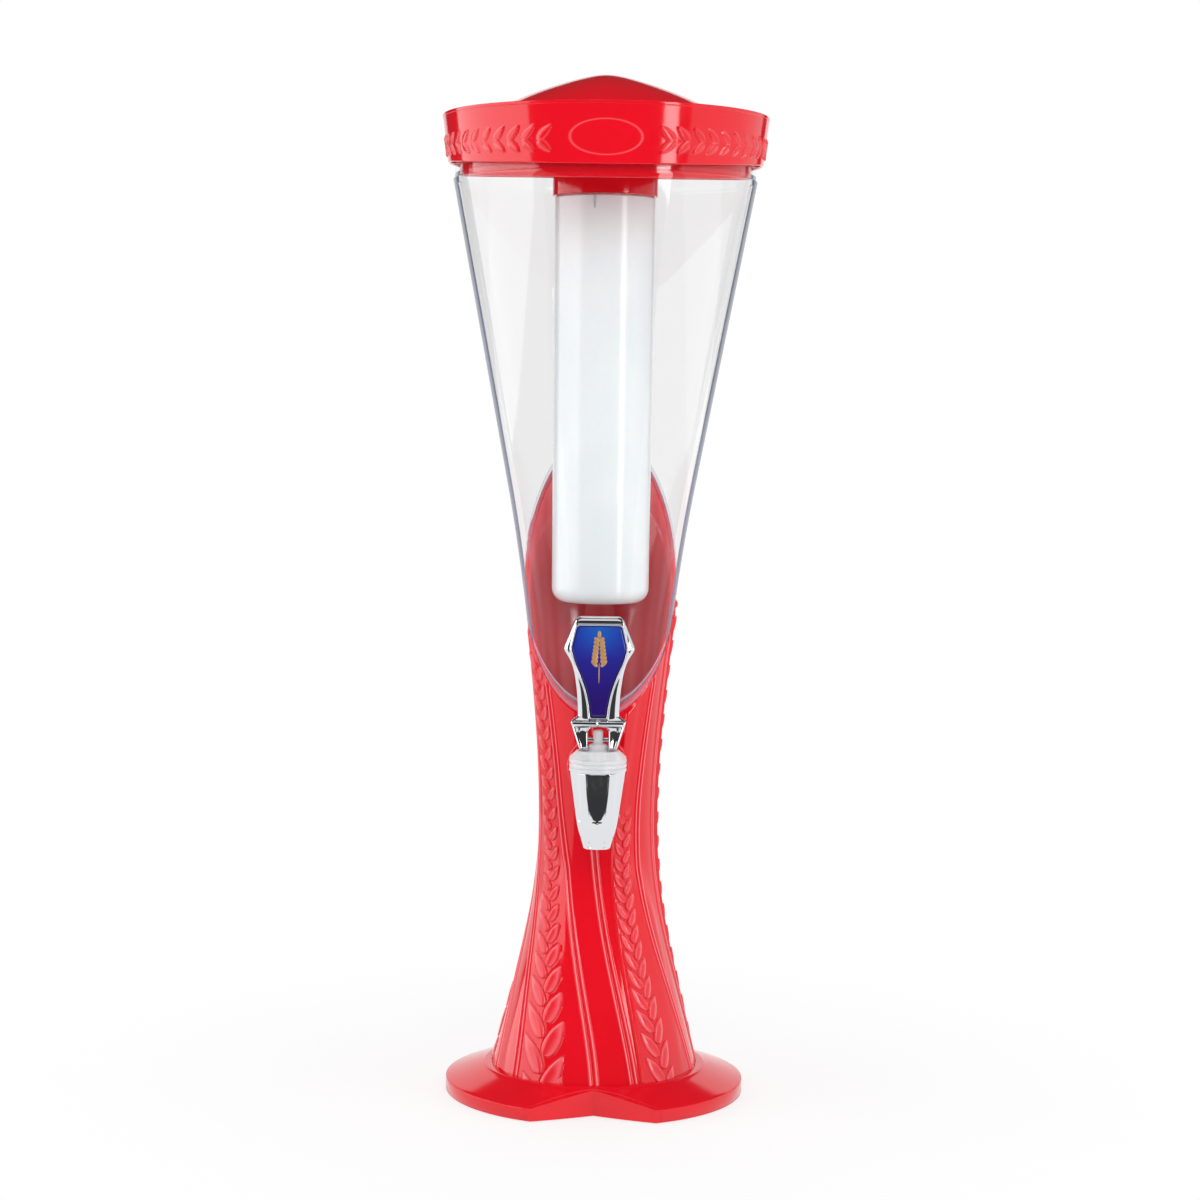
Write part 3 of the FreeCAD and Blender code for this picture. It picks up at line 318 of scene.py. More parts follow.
def redPlastic(name, tone=(226, 14, 32), shine=0.07):
    # moulded gloss plastic: slow drift of the tone, painted highlight and painted light where the crest
    # attribute says, fine orange peel and a slow wave
    p = newPaint(name)
    base = p.mixColour(p.noise(14.0).ramped(0.35, 0.65), colour(*tone), colour(*tone, 0.93))
    crest = p.node("ShaderNodeAttribute", {"attribute_name": "crest"}, output=2)
    # painted highlight: pale pink mixed in by the crest attribute on ridges, leaves, the lid's oval and the
    # column's inner wall
    base = p.mixColour(crest * 0.85, base, colour(255, 146, 156))
    peel = p.bump(p.noise(900.0, 1.0), 0.05, 0.0002)
    wave = p.bump(p.noise(34.0, 1.0), 0.10, 0.0012, peel)
    gloss = shine + p.noise(120.0) * 0.05
    return p.finish(p.shader(Base_Color=base, Roughness=gloss, Normal=wave, Specular_IOR_Level=0.5))


clear = dict(
    # painted shade tone of the edge-on wall, and painted highlight tone of the band at the cut
    edgeShadeTone=(54, 64, 104), cutHighlightTone=(206, 196, 222), haze=0.955,
    cone=(0.1892, -0.01225), sleeve=(0.1107, 0.0113),  # outer radius in metres: slope and start
    cutSlope=1.658, cutHeight=0.2712, cutCosine=0.517,  # plane of the slanted cut
)


def clearPlastic(name):
    # clear wall: mirror share by viewing angle, painted slate shade where the outer wall is seen edge on,
    # and a painted pale highlight band at the cut
    c = clear
    p = newPaint(name)
    x, y, z = p.parts(p.place())
    reach = (x * x + y * y) ** 0.5
    cone, sleeve = z * c["cone"][0] + c["cone"][1], z * c["sleeve"][0] + c["sleeve"][1]
    outside = reach > cone.atLeast(sleeve) - 0.0015
    facing = p.facing()
    turning = facing - z * 0.384
    aboveCut = (z - y * c["cutSlope"] - c["cutHeight"]) * c["cutCosine"]
    slant = aboveCut - y.ramped(-0.03, 0.02, 0.0042, 0.0006)
    # painted highlight band along the slanted cut
    band = slant.ramped(-0.0007, 0.0003, 1.0, 0.0) * y.ramped(-0.02, 0.01, 0.16, 0.0)
    band = band + (1 - abs(slant) * 1400.0).atLeast(0.0) * 0.55
    # painted shade where the outer wall is seen edge on
    dark = (turning.ramped(0.560, 0.580) * 0.8).atLeast(facing.ramped(0.90, 0.94) * 0.92)
    edge = dark.atLeast(band) * outside
    mirror = (facing ** 5.0 * 0.7 + 0.028) * (outside * 0.75 + 0.25)
    gloss = p.shader(Base_Color=(1, 1, 1, 1), Metallic=1.0, Roughness=p.noise(60.0) * 0.03 + 0.02)
    slateShade, paleSlateShade = colour(*c["edgeShadeTone"]), colour(*c["edgeShadeTone"], 1.5)
    tint = p.mixColour(p.noise(18.0).ramped(0.35, 0.65), slateShade, paleSlateShade)
    # painted shade colour where the wall is edge on, painted highlight colour on the band at the cut
    pale = p.mixColour(dark > 0.3, colour(*c["cutHighlightTone"]), tint)
    rim = p.shader(Base_Color=pale, Roughness=0.2)
    wall = p.mixShader(mirror, p.passing(c["haze"]), gloss)
    seen = p.mixShader(edge, wall, rim)
    return p.finish(p.mixShader(p.rays(shadowRay, diffuseRay), seen, p.passing(1)))


def frostPlastic(name, tone, body, haze):
    # clear moulding with cloudy body: partly white plastic, partly see-through, glossy all over
    p = newPaint(name)
    cloudy = p.noise(140.0, 1.0).ramped(0.3, 0.7, body * 0.92, body * 1.05)
    share = cloudy + p.facing() ** 3.0 * 0.45
    gloss = p.shader(Base_Color=colour(*tone), Roughness=p.noise(300.0) * 0.05 + 0.06)
    return p.finish(p.mixShader(share, p.passing(haze), gloss))


def milkPlastic(name, light, dark):
    # white plastic that light sinks into, with a slow drift between two tones
    p = newPaint(name)
    tone = p.mixColour(p.noise(20.0).ramped(0.4, 0.6), colour(*light), colour(*dark))
    gloss = p.noise(60.0) * 0.06 + 0.16
    return p.finish(p.shader(Base_Color=tone, Roughness=gloss,
                             Subsurface_Weight=0.15, Subsurface_Scale=0.01))


def chromePlate(name, tone=(226, 228, 232), rough=0.045):
    # bright metal with a faint wave of the moulding under it
    p = newPaint(name)
    wave = p.bump(p.noise(160.0, 1.0), 0.06, 0.0006)
    gloss = p.noise(300.0) * 0.04 + rough
    return p.finish(p.shader(Base_Color=colour(*tone), Metallic=1.0, Roughness=gloss, Normal=wave))


def dullMaterial(name, tone, rough, metallic=0.0, grain=400.0):
    # speckled between the tone and four fifths of it, with the same specks as bump and roughness
    p = newPaint(name)
    speck = p.noise(grain)
    base = p.mixColour(speck.ramped(0.35, 0.7), colour(*tone), colour(*tone, 0.8))
    return p.finish(p.shader(Base_Color=base, Metallic=metallic, Roughness=speck * 0.1 + rough,
                             Normal=p.bump(speck, 0.15, 0.0002)))


redGloss = redPlastic("red gloss plastic")
tankClear = clearPlastic("clear tank plastic")
tapClear = frostPlastic("clear tap plastic", (246, 247, 249), 0.6, 0.96)
milkWhite = milkPlastic("milky white plastic", (243, 243, 244), (238, 239, 241))
# painted shade: the lock mark is the tube's milky plastic, coloured grey for the shade it lies in under the
# collar
lockMarkInShade = milkPlastic("lock mark in painted shade", (186, 187, 194), (176, 177, 185))
chrome = chromePlate("chrome plate")
steel = dullMaterial("screw steel", (150, 152, 156), 0.3, 1.0)
blackRubber = dullMaterial("black rubber", (28, 28, 30), 0.7)
sealRubber = dullMaterial("milky seal rubber", (205, 205, 206), 0.5)
nutGrey = dullMaterial("nut plastic", (205, 205, 208), 0.4)

piecesIn = {
    redGloss: "base_flange column lid",
    tankClear: "tank",
    milkWhite: "ice_tube",
    tapClear: "tap_body valve_gland valve_stem",
    chrome: "spout_shroud tap_handle handle_pin handle_label",
    steel: "base_screws return_spring",
    blackRubber: "rubber_feet",
    sealRubber: "gland_seal stem_seal valve_cup shank_outer_washer shank_inner_washer",
    nutGrey: "shank_nut",
}
for finish, names in piecesIn.items():
    for nodeName in names.split():
        mesh = nodes[nodeName].data
        mesh.materials.clear()
        mesh.materials.append(finish)
print("finishes on the packed pieces")


# column: fluted skin with double lines and leaf ears

column = dict(
    stations=[(11.5, 57.8), (60, 45.6), (105, 35.9), (161, 32.2), (216, 35.2), (272, 41.4), (338, 51.7)],
    coneSlope=(85.0 - 51.7) / (514 - 338), rimHeight=271.2, rimAngle=58.9, wall=2.4, panels=5,
    doubleLine=(1.0, -35.0, 175.0), secondLine=(23.0, -28.0, 175.0), earLine=(-29.5, -18.5, 150.0),
    edgeFoot=14.5, edgeTop=9.0, leanStart=130.0, leanRate=0.16, leanReach=80.0,
    lineSpread=(1.75, 1.3), lineWidth=(0.72, 0.6), lineHeight=0.95, lineDip=0.25, lineReach=3.2,
    lineRun=130.0, edgeStep=1.5, edgeRun=1.3, fluteDepth=0.7, fluteEnd=3.0, pitchRun=110.0,
    leafPitch=[(14.5, 8.6), (18.0, 13.5), (17.0, 11.5), (18.0, 12.0), (20.0, 11.0)],
    leafHeight=1.5, leafLean=29.0, leafStretch=1.12, leafWidth=0.30,
    # the inner wall's paleness is painted light, and its stripes are painted reflection streaks
    plainPanel=0, plainFrom=150.0, plainRun=16.0, innerPaintedLight=0.4, paintedReflectionStreaks=0.45,
    rimBetween=(120.0, 420.0), rows=520, innerRows=24, rimRows=5,
)


def columnRadius():
    # curve through the stations that runs on as a straight cone above the last one
    c = column
    places, values = zip(*c["stations"])
    startSlope = (values[1] - values[0]) / (places[1] - places[0])
    curve = clampedSpline(places, values, startSlope, c["coneSlope"])
    topZ, topR = places[-1], values[-1]
    return lambda z: np.where(z < topZ, curve(np.minimum(z, topZ)), topR + c["coneSlope"] * (z - topZ))


radiusAt = columnRadius()


def lineAzimuth(line, index, z):
    # foot azimuth plus an eased twist; above leanStart lines near the tap lean away from it
    c = column
    foot, twist, endZ = line
    plain = foot + 360 / c["panels"] * index + twist * easedRun(z / endZ)
    wrapped = (plain + 180) % 360 - 180
    lean = c["leanRate"] * np.maximum(z - c["leanStart"], 0)
    reach = np.minimum(np.abs(wrapped), c["leanReach"]) / c["leanReach"]
    return plain + np.sign(wrapped) * lean * np.sin(np.pi * reach)


def panelLines(index, z):
    # stem, sharp edge, double line, second line and the next sharp edge of one panel, in degrees
    c = column
    share = easedRun(z / c["earLine"][2])
    half = blendOf(c["edgeFoot"], c["edgeTop"], share)
    stem = lineAzimuth(c["earLine"], index + 1, z)
    nextStem = lineAzimuth(c["earLine"], index + 2, z)
    return dict(edge=stem - half, stem=stem, double=lineAzimuth(c["doubleLine"], index + 1, z),
                second=lineAzimuth(c["secondLine"], index + 1, z), nextEdge=nextStem - half, half=half)


def panelColumns():
    # stations across a panel: (line, millimetres beside it, share of the half panel beside it,
    # columns up to the next station)
    reach = column["lineReach"]
    return [("edge", -1.4, 0, 6), ("edge", 0.1, 0, 44), ("stem", 0, 0, 44), ("stem", 0, 0.95, 6),
            ("double", -reach, 0, 24), ("double", reach, 0, 8),
            ("second", -reach, 0, 24), ("second", reach, 0, 6), ("nextEdge", -1.4, 0, 0)]


def panelAzimuth(index, z):
    # the stretches between neighbouring stations at each height z, each with its columns' shares,
    # and the last station's azimuth
    lines = panelLines(index, z)
    stations = panelColumns()
    degree = radiusAt(z) * math.pi / 180
    places = [lines[line] + aside / degree + lines["half"] * share for line, aside, share, _ in stations]
    shares = [np.arange(count) / count for *_, count in stations[:-1]]
    return list(zip(places, places[1:], shares)), places[-1]


def teardropWidth(inside):  # half width along a leaf: blunt at the foot (0), pointed at the tip (1)
    return 1.72 * inside ** 0.45 * (1 - inside) ** 0.8 + 1e-6


def leafRelief(beside, z, size, pitch, side, phaseShift):
    # teardrops leaning out and up from the stem: rounded at the stem, pointed at the tip
    c = column
    ladder = np.linspace(0, c["rimBetween"][1], 2000)
    step = blendOf(*pitch, easedRun(ladder / c["pitchRun"]))
    phase = np.concatenate([[0], np.cumsum(1 / step[:-1] * np.diff(ladder))])
    here = np.interp(z, ladder, phase) - phaseShift
    lean = math.radians(c["leafLean"])
    raised, groove = np.zeros_like(z), np.zeros_like(z)
    for back in (0, 1, 2):
        number = np.floor(here) - back
        foot = np.interp(number + phaseShift, phase, ladder)
        local = np.interp(foot, ladder, step) * size
        across, up = beside * side - 0.06 * local, z - foot
        along = (up * math.cos(lean) + across * math.sin(lean)) / (c["leafStretch"] * local)
        off = (across * math.cos(lean) - up * math.sin(lean)) / (c["leafWidth"] * local)
        inside = held(along)
        width = teardropWidth(inside)
        share = off / width
        dome = held(1 - share ** 2) ** 0.3 * (along > 0) * (along < 1)
        tall = dome * (0.8 - 0.2 * np.clip(share, -1, 1)) * np.minimum(1, 0.6 + (1 - inside))
        raised = np.maximum(raised, tall)
        near = hill((np.abs(off) - width) * local * c["leafWidth"], 0.5) * (along > -0.02) * (along < 1.02)
        groove = np.maximum(groove, near)
    return np.where(raised > 0.02, raised, -0.2 * groove)


def columnRelief(index, azimuth, z, lines):
    # height of lines, edge step, flute and leaves over the plain wall in millimetres,
    # and the share of painted highlight on the line crests and leaf crowns
    c = column
    r = radiusAt(z)
    degree = r * math.pi / 180
    relief, crest = np.zeros_like(z), np.zeros_like(z)
    climb = easedRun(z / c["lineRun"])
    spread, width = blendOf(*c["lineSpread"], climb), blendOf(*c["lineWidth"], climb)
    for name, second in (("double", 0.8), ("second", 1.0)):
        aside = (azimuth - lines[name]) * degree
        pair = second * hill(aside - spread, width) + hill(aside + spread, width)
        relief += c["lineHeight"] * pair - c["lineDip"] * hill(aside, spread)
        # painted highlight along the crest of each line of a pair
        crest = np.maximum(crest, hill(np.abs(aside) - spread, width * 0.5))
    beside = azimuth - lines["edge"]
    fluteEnd = lines["double"] - c["fluteEnd"] / degree
    flute = held(beside / (fluteEnd - lines["edge"]))
    step = held((beside * degree + c["edgeRun"]) / c["edgeRun"])
    raised = c["edgeStep"] * easedRun(step) * (1 - flute) ** 1.3
    hollow = c["fluteDepth"] * np.sin(np.pi * held((flute - 0.3) / 0.7)) ** 2 * 0.6
    relief += np.where(azimuth < fluteEnd, raised - hollow, 0)
    fromStem = (azimuth - lines["stem"]) * degree
    pitch = c["leafPitch"][index]
    crowding = np.clip(blendOf(*pitch, easedRun(z / c["pitchRun"])) / 18, 0.4, 1.2)
    size = np.minimum(np.clip(lines["half"] * degree / 12.0, 0.35, 1.05) / crowding, 1.05)
    left = leafRelief(fromStem, z, size, pitch, -1, 0.0)
    right = leafRelief(fromStem, z, size, pitch, 1, 0.5)
    leaves = np.where(np.maximum(left, right) > 0, np.maximum(left, right), np.minimum(left, right))
    ends = 1 - easedRun((z - c["plainFrom"]) / c["plainRun"]) if index == c["plainPanel"] else 1.0
    # painted highlight: the line crests, and the crowns of the leaves
    paintedLight = np.maximum(crest, 0.45 * hill(held(leaves) - 0.55, 0.2) * (leaves > 0) * ends)
    return relief + c["leafHeight"] * leaves * ends, paintedLight


def columnPanel(index):
    # outer skin up to the slanted rim, rim face, inner wall down again; returns points and shares of
    # painted light
    c = column
    slant = math.tan(math.radians(c["rimAngle"]))

    def spread(z):  # z: rows by columns; azimuth of each column at its own height
        stretches, last = panelAzimuth(index, z)
        result = np.empty_like(z)
        at = 0
        for start, end, share in stretches:
            piece = slice(at, at + len(share))
            result[:, piece] = start[:, piece] + (end[:, piece] - start[:, piece]) * share
            at += len(share)
        result[:, at] = last[:, at]
        return result

    width = sum(count for *_, count in panelColumns()) + 1

    def overRim(z):
        return z - c["rimHeight"] + slant * radiusAt(z) * np.cos(np.radians(spread(z))) > 0

    rim = whereOver(overRim, *[np.full((1, width), height) for height in c["rimBetween"]])
    foot = c["stations"][0][0]
    z = foot + (rim - foot) * np.linspace(0, 1, c["rows"])[:, None]
    azimuth = spread(z)
    relief, crest = columnRelief(index, azimuth, z, panelLines(index, z))
    fade = held((rim - z) / 4.0)
    rimRound = 0.35 * (1 - held((rim - z) / 0.4))
    outer = ringPoint(radiusAt(z) + relief * easedRun(fade) - rimRound, azimuth, z)
    inset = np.linspace(0.4, c["wall"] - 0.3, c["rimRows"])[:, None]
    rimAzimuth = azimuth[-1:]
    fall = slant * np.cos(np.radians(rimAzimuth))
    top = ringPoint(radiusAt(rim) - inset, rimAzimuth, rim + fall * inset)
    innerTop = rim + fall * c["wall"] - 0.3
    innerZ = foot + (innerTop - foot) * np.linspace(1, 0, c["innerRows"])[:, None]
    inner = ringPoint(radiusAt(innerZ) - c["wall"], spread(np.minimum(innerZ, rim)), innerZ)
    paintedLight = np.zeros((c["rows"] + c["rimRows"] + c["innerRows"], width))
    paintedLight[:c["rows"]] = crest * fade
    turn = np.radians(rimAzimuth)
    # painted light on the inner wall: paler all over, with painted reflection streaks
    paintedReflectionStreaks = c["paintedReflectionStreaks"] * np.sin(7 * turn) * np.sin(19 * turn)  # stripes up the inner wall
    paintedLight[-c["innerRows"]:] = c["innerPaintedLight"] * (1 + paintedReflectionStreaks)
    return np.concatenate([outer, top, inner], axis=0), paintedLight


for panelIndex in range(column["panels"]):
    points, paintedLight = columnPanel(panelIndex)
    panel = gridPiece("column_panel_%d" % (panelIndex + 1), points, "tower", redGloss,
                      closeAcross=False, closeAlong=True, crest=paintedLight)
    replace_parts(panel, "column")
print("column panels")

boss = dict(radius=16.8, face=-41.5, round=1.5, bore=8.3, height=187.4, root=-24.0)


def bossPiece():
    # turned about the shank's axis: side, round, flat face and bore
    b = boss
    corner = np.linspace(0, np.pi / 2, 9)
    side = [(b["radius"], b["root"]), (b["radius"], b["face"] + b["round"] + 0.05)]
    bend = [(b["radius"] - b["round"] * (1 - math.cos(t)), b["face"] + b["round"] * (1 - math.sin(t)))
            for t in corner]
    bore = [(b["bore"] + 0.3, b["face"]), (b["bore"], b["face"] + 0.3), (b["bore"], b["root"])]
    profile = np.array(side + bend + bore)
    turn = np.linspace(0, 2 * np.pi, 96, endpoint=False)
    radius, along = profile[:, :1], profile[:, 1:]
    places = np.broadcast_arrays(radius * np.cos(turn), along, b["height"] + radius * np.sin(turn))
    return gridPiece("tap_boss", np.stack(places, axis=-1), "tower", redGloss)


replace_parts(bossPiece(), "column")
print("tap boss")


# base disc: sloping top, upright rim and the hollow-walled front notch

base = dict(
    radius=83.0, rimHeight=7.6, topHeight=15.8, seat=56.2, collar=62.6, collarRise=0.75, notchAzimuth=25.4,
    notchDepth=62.5, notchBow=1.6, foot=0.6, over=0.06, edge=0.55, notchEdge=0.8, notchEdgeMiddle=1.5,
    columns=(80, 150),
)


def notchReach(azimuth):
    # distance from the axis to the notch wall: straight from tip to corner, hollowed by a shallow arc
    b = base
    corner = math.radians(b["notchAzimuth"])
    x1, y1 = b["radius"] * math.sin(corner), b["radius"] * math.cos(corner)
    turn = np.radians(np.abs(azimuth))
    dx, dy = x1, y1 - b["notchDepth"]
    reach = b["notchDepth"] * dx / (np.sin(turn) * -dy + np.cos(turn) * dx)
    along = held(reach * np.sin(turn) / x1)
    return reach - 4 * b["notchBow"] * along * (1 - along) * 0.85


def baseSkin():
    # from under the rim up its side, over a rounded edge, up the slope,
    # and over the raised collar to the column
    b = base
    inNotch = b["notchAzimuth"] * np.sin(np.linspace(-1, 1, b["columns"][0] + 1) * np.pi / 2)
    onward = np.linspace(b["notchAzimuth"], 360 - b["notchAzimuth"], b["columns"][1] + 1)[1:-1]
    azimuth = np.concatenate([inNotch, onward])
    notch = np.abs(azimuth) <= b["notchAzimuth"]
    rim = np.where(notch, notchReach(azimuth), b["radius"]) + b["over"]
    slope = (b["topHeight"] - b["collarRise"] - b["rimHeight"]) / (b["radius"] - b["collar"])
    top = b["rimHeight"] + slope * (b["radius"] - rim) + b["over"]
    middle = held(1 - np.abs(azimuth) / b["notchAzimuth"]) * notch
    edge = np.where(notch, blendOf(b["notchEdge"], b["notchEdgeMiddle"], middle), b["edge"])
    low = b["foot"] - 0.02
    rows = [oneRow(rim - 2.2, low), oneRow(rim - 0.4, low),
            oneRow(rim, low + 0.4), oneRow(rim, top - edge * 1.4)]
    t = np.linspace(0, 1, 6)[:, None]
    rows.append(np.stack([rim - edge * t ** 2, top - edge * (1 - t) ** 2 + slope * edge * t ** 2], -1))
    collar, inner = np.minimum(b["collar"], rim - edge * 2), b["seat"]
    high = b["topHeight"] + b["over"]
    foot = high - b["collarRise"]
    start = rim - edge * 1.4
    along = start + (collar + 0.2 - start) * np.linspace(0, 1, 12)[1:, None]
    rows.append(np.stack([along, np.minimum(top + slope * (rim - along), foot + 0.12)], -1))
    raised = (0.2, foot + 0.12), (0.8, foot + 0.55), (1.6, high - 0.08), (2.6, high)
    rows += [oneRow(collar - back, height) for back, height in raised]
    seat = [(inner + 0.6, high), (inner + 0.1, high - 0.1), (inner, high - 0.5), (inner, high - 4.0)]
    rows.append(evenRows(seat, azimuth))
    return sweptPiece("base_skin", rows, azimuth, "tower", redGloss)


baseSkin()
print("base disc")


# clear tank: cone above the slanted cut, narrower foot inside the sleeve

tank = dict(
    floor=165.0, wall=3.2, inset=2.3, gap=0.28, cutHeight=column["rimHeight"], cutAngle=column["rimAngle"],
    cutBetween=(150.0, 420.0), neckHeight=505.5, rim=514.0, neckStep=1.0, rimWall=2.2, coneStart=338.0,
    padBore=8.35, padRadius=14.0, padRoot=-31.0, padFace=-24.6, columns=240,
)


def whereCut(azimuth, inset):
    # height where the wall, moved in by inset, meets the slanted cut
    slant = math.tan(math.radians(tank["cutAngle"]))

    def overCut(z):
        fall = slant * (radiusAt(z) - inset) * np.cos(np.radians(azimuth))
        return z > tank["cutHeight"] + tank["gap"] - fall

    return whereOver(overCut, *[np.full_like(azimuth, height) for height in tank["cutBetween"]])


def tankPiece():
    # floor, foot wall, step out at the cut, cone, neck with its rim, and the inside down to the floor again
    t = tank
    azimuth = np.linspace(0, 360, t["columns"], endpoint=False)
    stepIn, stepOut = whereCut(azimuth, t["inset"]), whereCut(azimuth, 0.0)
    flat = 0.0 * azimuth
    foot, neckZ, rimZ = t["floor"], t["neckHeight"], t["rim"]
    footZ = foot + 1.2 + (stepIn - 0.3 - foot - 1.2) * np.linspace(0, 1, 60)[:, None]
    coneZ = stepOut + 0.3 + (neckZ - 0.3 - stepOut - 0.3) * np.linspace(0, 1, 90)[:, None]
    neck = radiusAt(neckZ) - t["neckStep"]
    inner = neck - t["rimWall"]
    bottomR = radiusAt(foot) - t["inset"]
    rows = [oneRow(flat, foot), oneRow(flat + bottomR - 1.5, foot),
            oneRow(flat + bottomR - 0.4, foot + 0.2), np.stack([radiusAt(footZ) - t["inset"], footZ], -1),
            oneRow(radiusAt(stepIn) - t["inset"] + 0.3, stepIn), oneRow(radiusAt(stepOut) - 0.3, stepOut),
            np.stack([radiusAt(coneZ), coneZ], -1)]
    rim = [(radiusAt(neckZ) - 0.3, neckZ), (neck + 0.1, neckZ + 0.05), (neck, neckZ + 0.4),
           (neck, rimZ - 0.5), (neck - 0.15, rimZ - 0.12), (neck - 0.5, rimZ),
           (inner + 0.5, rimZ), (inner + 0.15, rimZ - 0.12), (inner, rimZ - 0.5), (inner, neckZ)]
    rows.append(evenRows(rim, azimuth))
    innerConeZ = np.linspace(neckZ - 2, t["coneStart"], 60)[:, None] + flat
    wallIn = t["inset"] + t["wall"]
    start = radiusAt(t["coneStart"]) - wallIn
    climb = (innerConeZ - t["coneStart"]) / (neckZ - t["coneStart"])
    rows.append(np.stack([blendOf(start, inner, climb), innerConeZ], -1))
    floorZ = foot + t["wall"]
    innerZ = np.linspace(t["coneStart"] - 3, floorZ + 1.5, 70)[:, None] + flat
    rows.append(np.stack([radiusAt(innerZ) - wallIn, innerZ], -1))
    floorR = radiusAt(floorZ) - wallIn
    rows.append(evenRows([(floorR - 0.45, floorZ + 0.45), (floorR - 1.5, floorZ), (0.0, floorZ)], azimuth))
    return sweptPiece("clear_tank", rows, azimuth, "tower", tankClear)


def tankPad():
    # thick ring round the shank where it goes through the tank's wall
    t = tank
    low, high = (t["padBore"], t["padRoot"]), (t["padRadius"], t["padFace"])
    profile = softened([low, (high[0], low[1]), high, (low[0], high[1]), low], 0.4)
    return turnedPiece("tank_pad", profile[::-1], "tower", tankClear, 64, level=True,
                       centre=(0, boss["height"]))


for piece in (tankPiece(), tankPad()):
    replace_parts(piece, "tank")
print("clear tank")


# ice tube: stepped neck, long wall, rounded foot, wedge that marks the locked place

ice = dict(
    foot=274.0, round=8.0, footRadius=26.9, topRadius=27.8, shoulder=496.7, neck=26.3, neckHeight=15.0,
    wall=1.8, bevel=0.8, markAzimuth=-11.5, markHeight=8.5, markWidth=1.4, markDepth=1.1,
)


def iceTube():
    # closed foot with a quarter round, wall up to the shoulder and neck, and the same again inside
    i = ice
    quarter = np.linspace(0, np.pi / 2, 14)
    flat, roundZ, wall = i["footRadius"] - i["round"], i["foot"] + i["round"], i["wall"]
    inside = i["round"] - wall
    outerFoot = np.stack([flat + i["round"] * np.sin(quarter), roundZ - i["round"] * np.cos(quarter)], -1)
    innerFoot = np.stack([flat + inside * np.sin(quarter), roundZ - inside * np.cos(quarter)], -1)[::-1]
    shoulder, top, neck, bevel = i["shoulder"], i["shoulder"] + i["neckHeight"], i["neck"], i["bevel"]
    side = softened([outerFoot[-1], (i["topRadius"], shoulder - bevel), (i["topRadius"] - bevel, shoulder),
                     (neck, shoulder), (neck, top), (neck - wall, top), (neck - wall, shoulder - wall),
                     (i["topRadius"] - wall, shoulder - 2 * wall), innerFoot[0]], 0.25)
    profile = np.concatenate([[(0, i["foot"]), (flat - 2, i["foot"])], outerFoot, side[1:-1], innerFoot,
                              [(flat - 2, i["foot"] + wall), (0, i["foot"] + wall)]])
    return turnedPiece("ice_tube_wall", profile, "ice_tube", milkWhite, 160)


def lockMark():
    # wedge: full depth under the shoulder, running out to nothing at its lower end
    i = ice
    t = np.linspace(0, 1, 10)[:, None]
    across = np.array([-1.0, -0.85, -0.3, 0.3, 0.85, 1.0])[None]
    depth = np.array([0.0, 0.85, 1.0, 1.0, 0.85, 0.0])[None]
    radius = i["topRadius"] - 0.3 + (i["markDepth"] + 0.3) * depth * (1 - t)
    turn = i["markAzimuth"] + np.degrees(across * i["markWidth"] / 2 / i["topRadius"]) * (1 - 0.35 * t)
    height = i["shoulder"] - i["bevel"] - i["markHeight"] * t + 0 * across
    # painted shade grey, in place of the shade on the wedge
    return gridPiece("lock_mark", ringPoint(radius, turn, height), "ice_tube", lockMarkInShade,
                     closeAcross=False, flip=True)


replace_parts(iceTube(), "ice_tube")
lockMark()
print("ice tube")


# lid: ring with leaves and oval, shallow dome, plug ring, collar and rest ribs

lid = dict(
    skirt=[(504.0, 85.68), (510.0, 85.85), (516.0, 86.5), (524.0, 87.55), (531.0, 88.35), (537.6, 89.2)],
    skirtSlopes=(0.0, 0.135), wall=2.2, edgeRadius=89.5, edgeHeight=540.0, sideHeight=514.3,
    droop=7.0, droopRadius=86.0, crest=0.15, bandTop=537.9, reliefTop=537.6,
    lipFoot=(89.25, 538.2), lipEdge=538.5, wellDepth=1.8, domeFoot=69.0, apex=563.0,
    dome=[(15.8, 560.3), (33.0, 554.8), (47.0, 549.2)], domeSlopes=(0.0, -0.53),
    plugRadius=79.7, plugTaper=498.1, plugFoot=78.09, plugSide=507.0, plugDroop=6.7, plugRise=7.2,
    plugWall=2.0,
    collarRadius=28.9, collarFoot=497.0, collarWall=2.3,
    ribs=24, ribHalf=0.7, ribReach=(78.7, 84.9), ribFoot=514.15,
    ovalHeight=521.3, ovalHalf=(19.0, 9.1), ovalWidth=0.34, ovalDepth=0.32, reliefRadius=87.5,
    leafStart=23.7, leafPitch=6.15, leafEnd=163.0, leafMiddle=519.6, leafRise=2.6, leafLength=11.2,
    leafShort=8.2, leafWidth=0.27, leafTilt=44.0, leafTall=1.0, columns=800, bandRows=72,
)
wellHeight = lid["edgeHeight"] - lid["wellDepth"]  # upper and lower face of the plate round the dome
underWell = wellHeight - lid["wall"]


def saddleHeight(side, droop, y, rise=0.0):
    # edge that is high at the sides and sinks towards the front with a rounded crest;
    # behind it runs level or rises
    l = lid
    share = np.maximum(y, 0) / l["edgeRadius"]
    crown = math.hypot(1, l["crest"]) - l["crest"]
    sink = droop * (np.hypot(share, l["crest"]) - l["crest"]) / crown
    return side - sink + rise * np.maximum(-y, 0) / l["edgeRadius"]


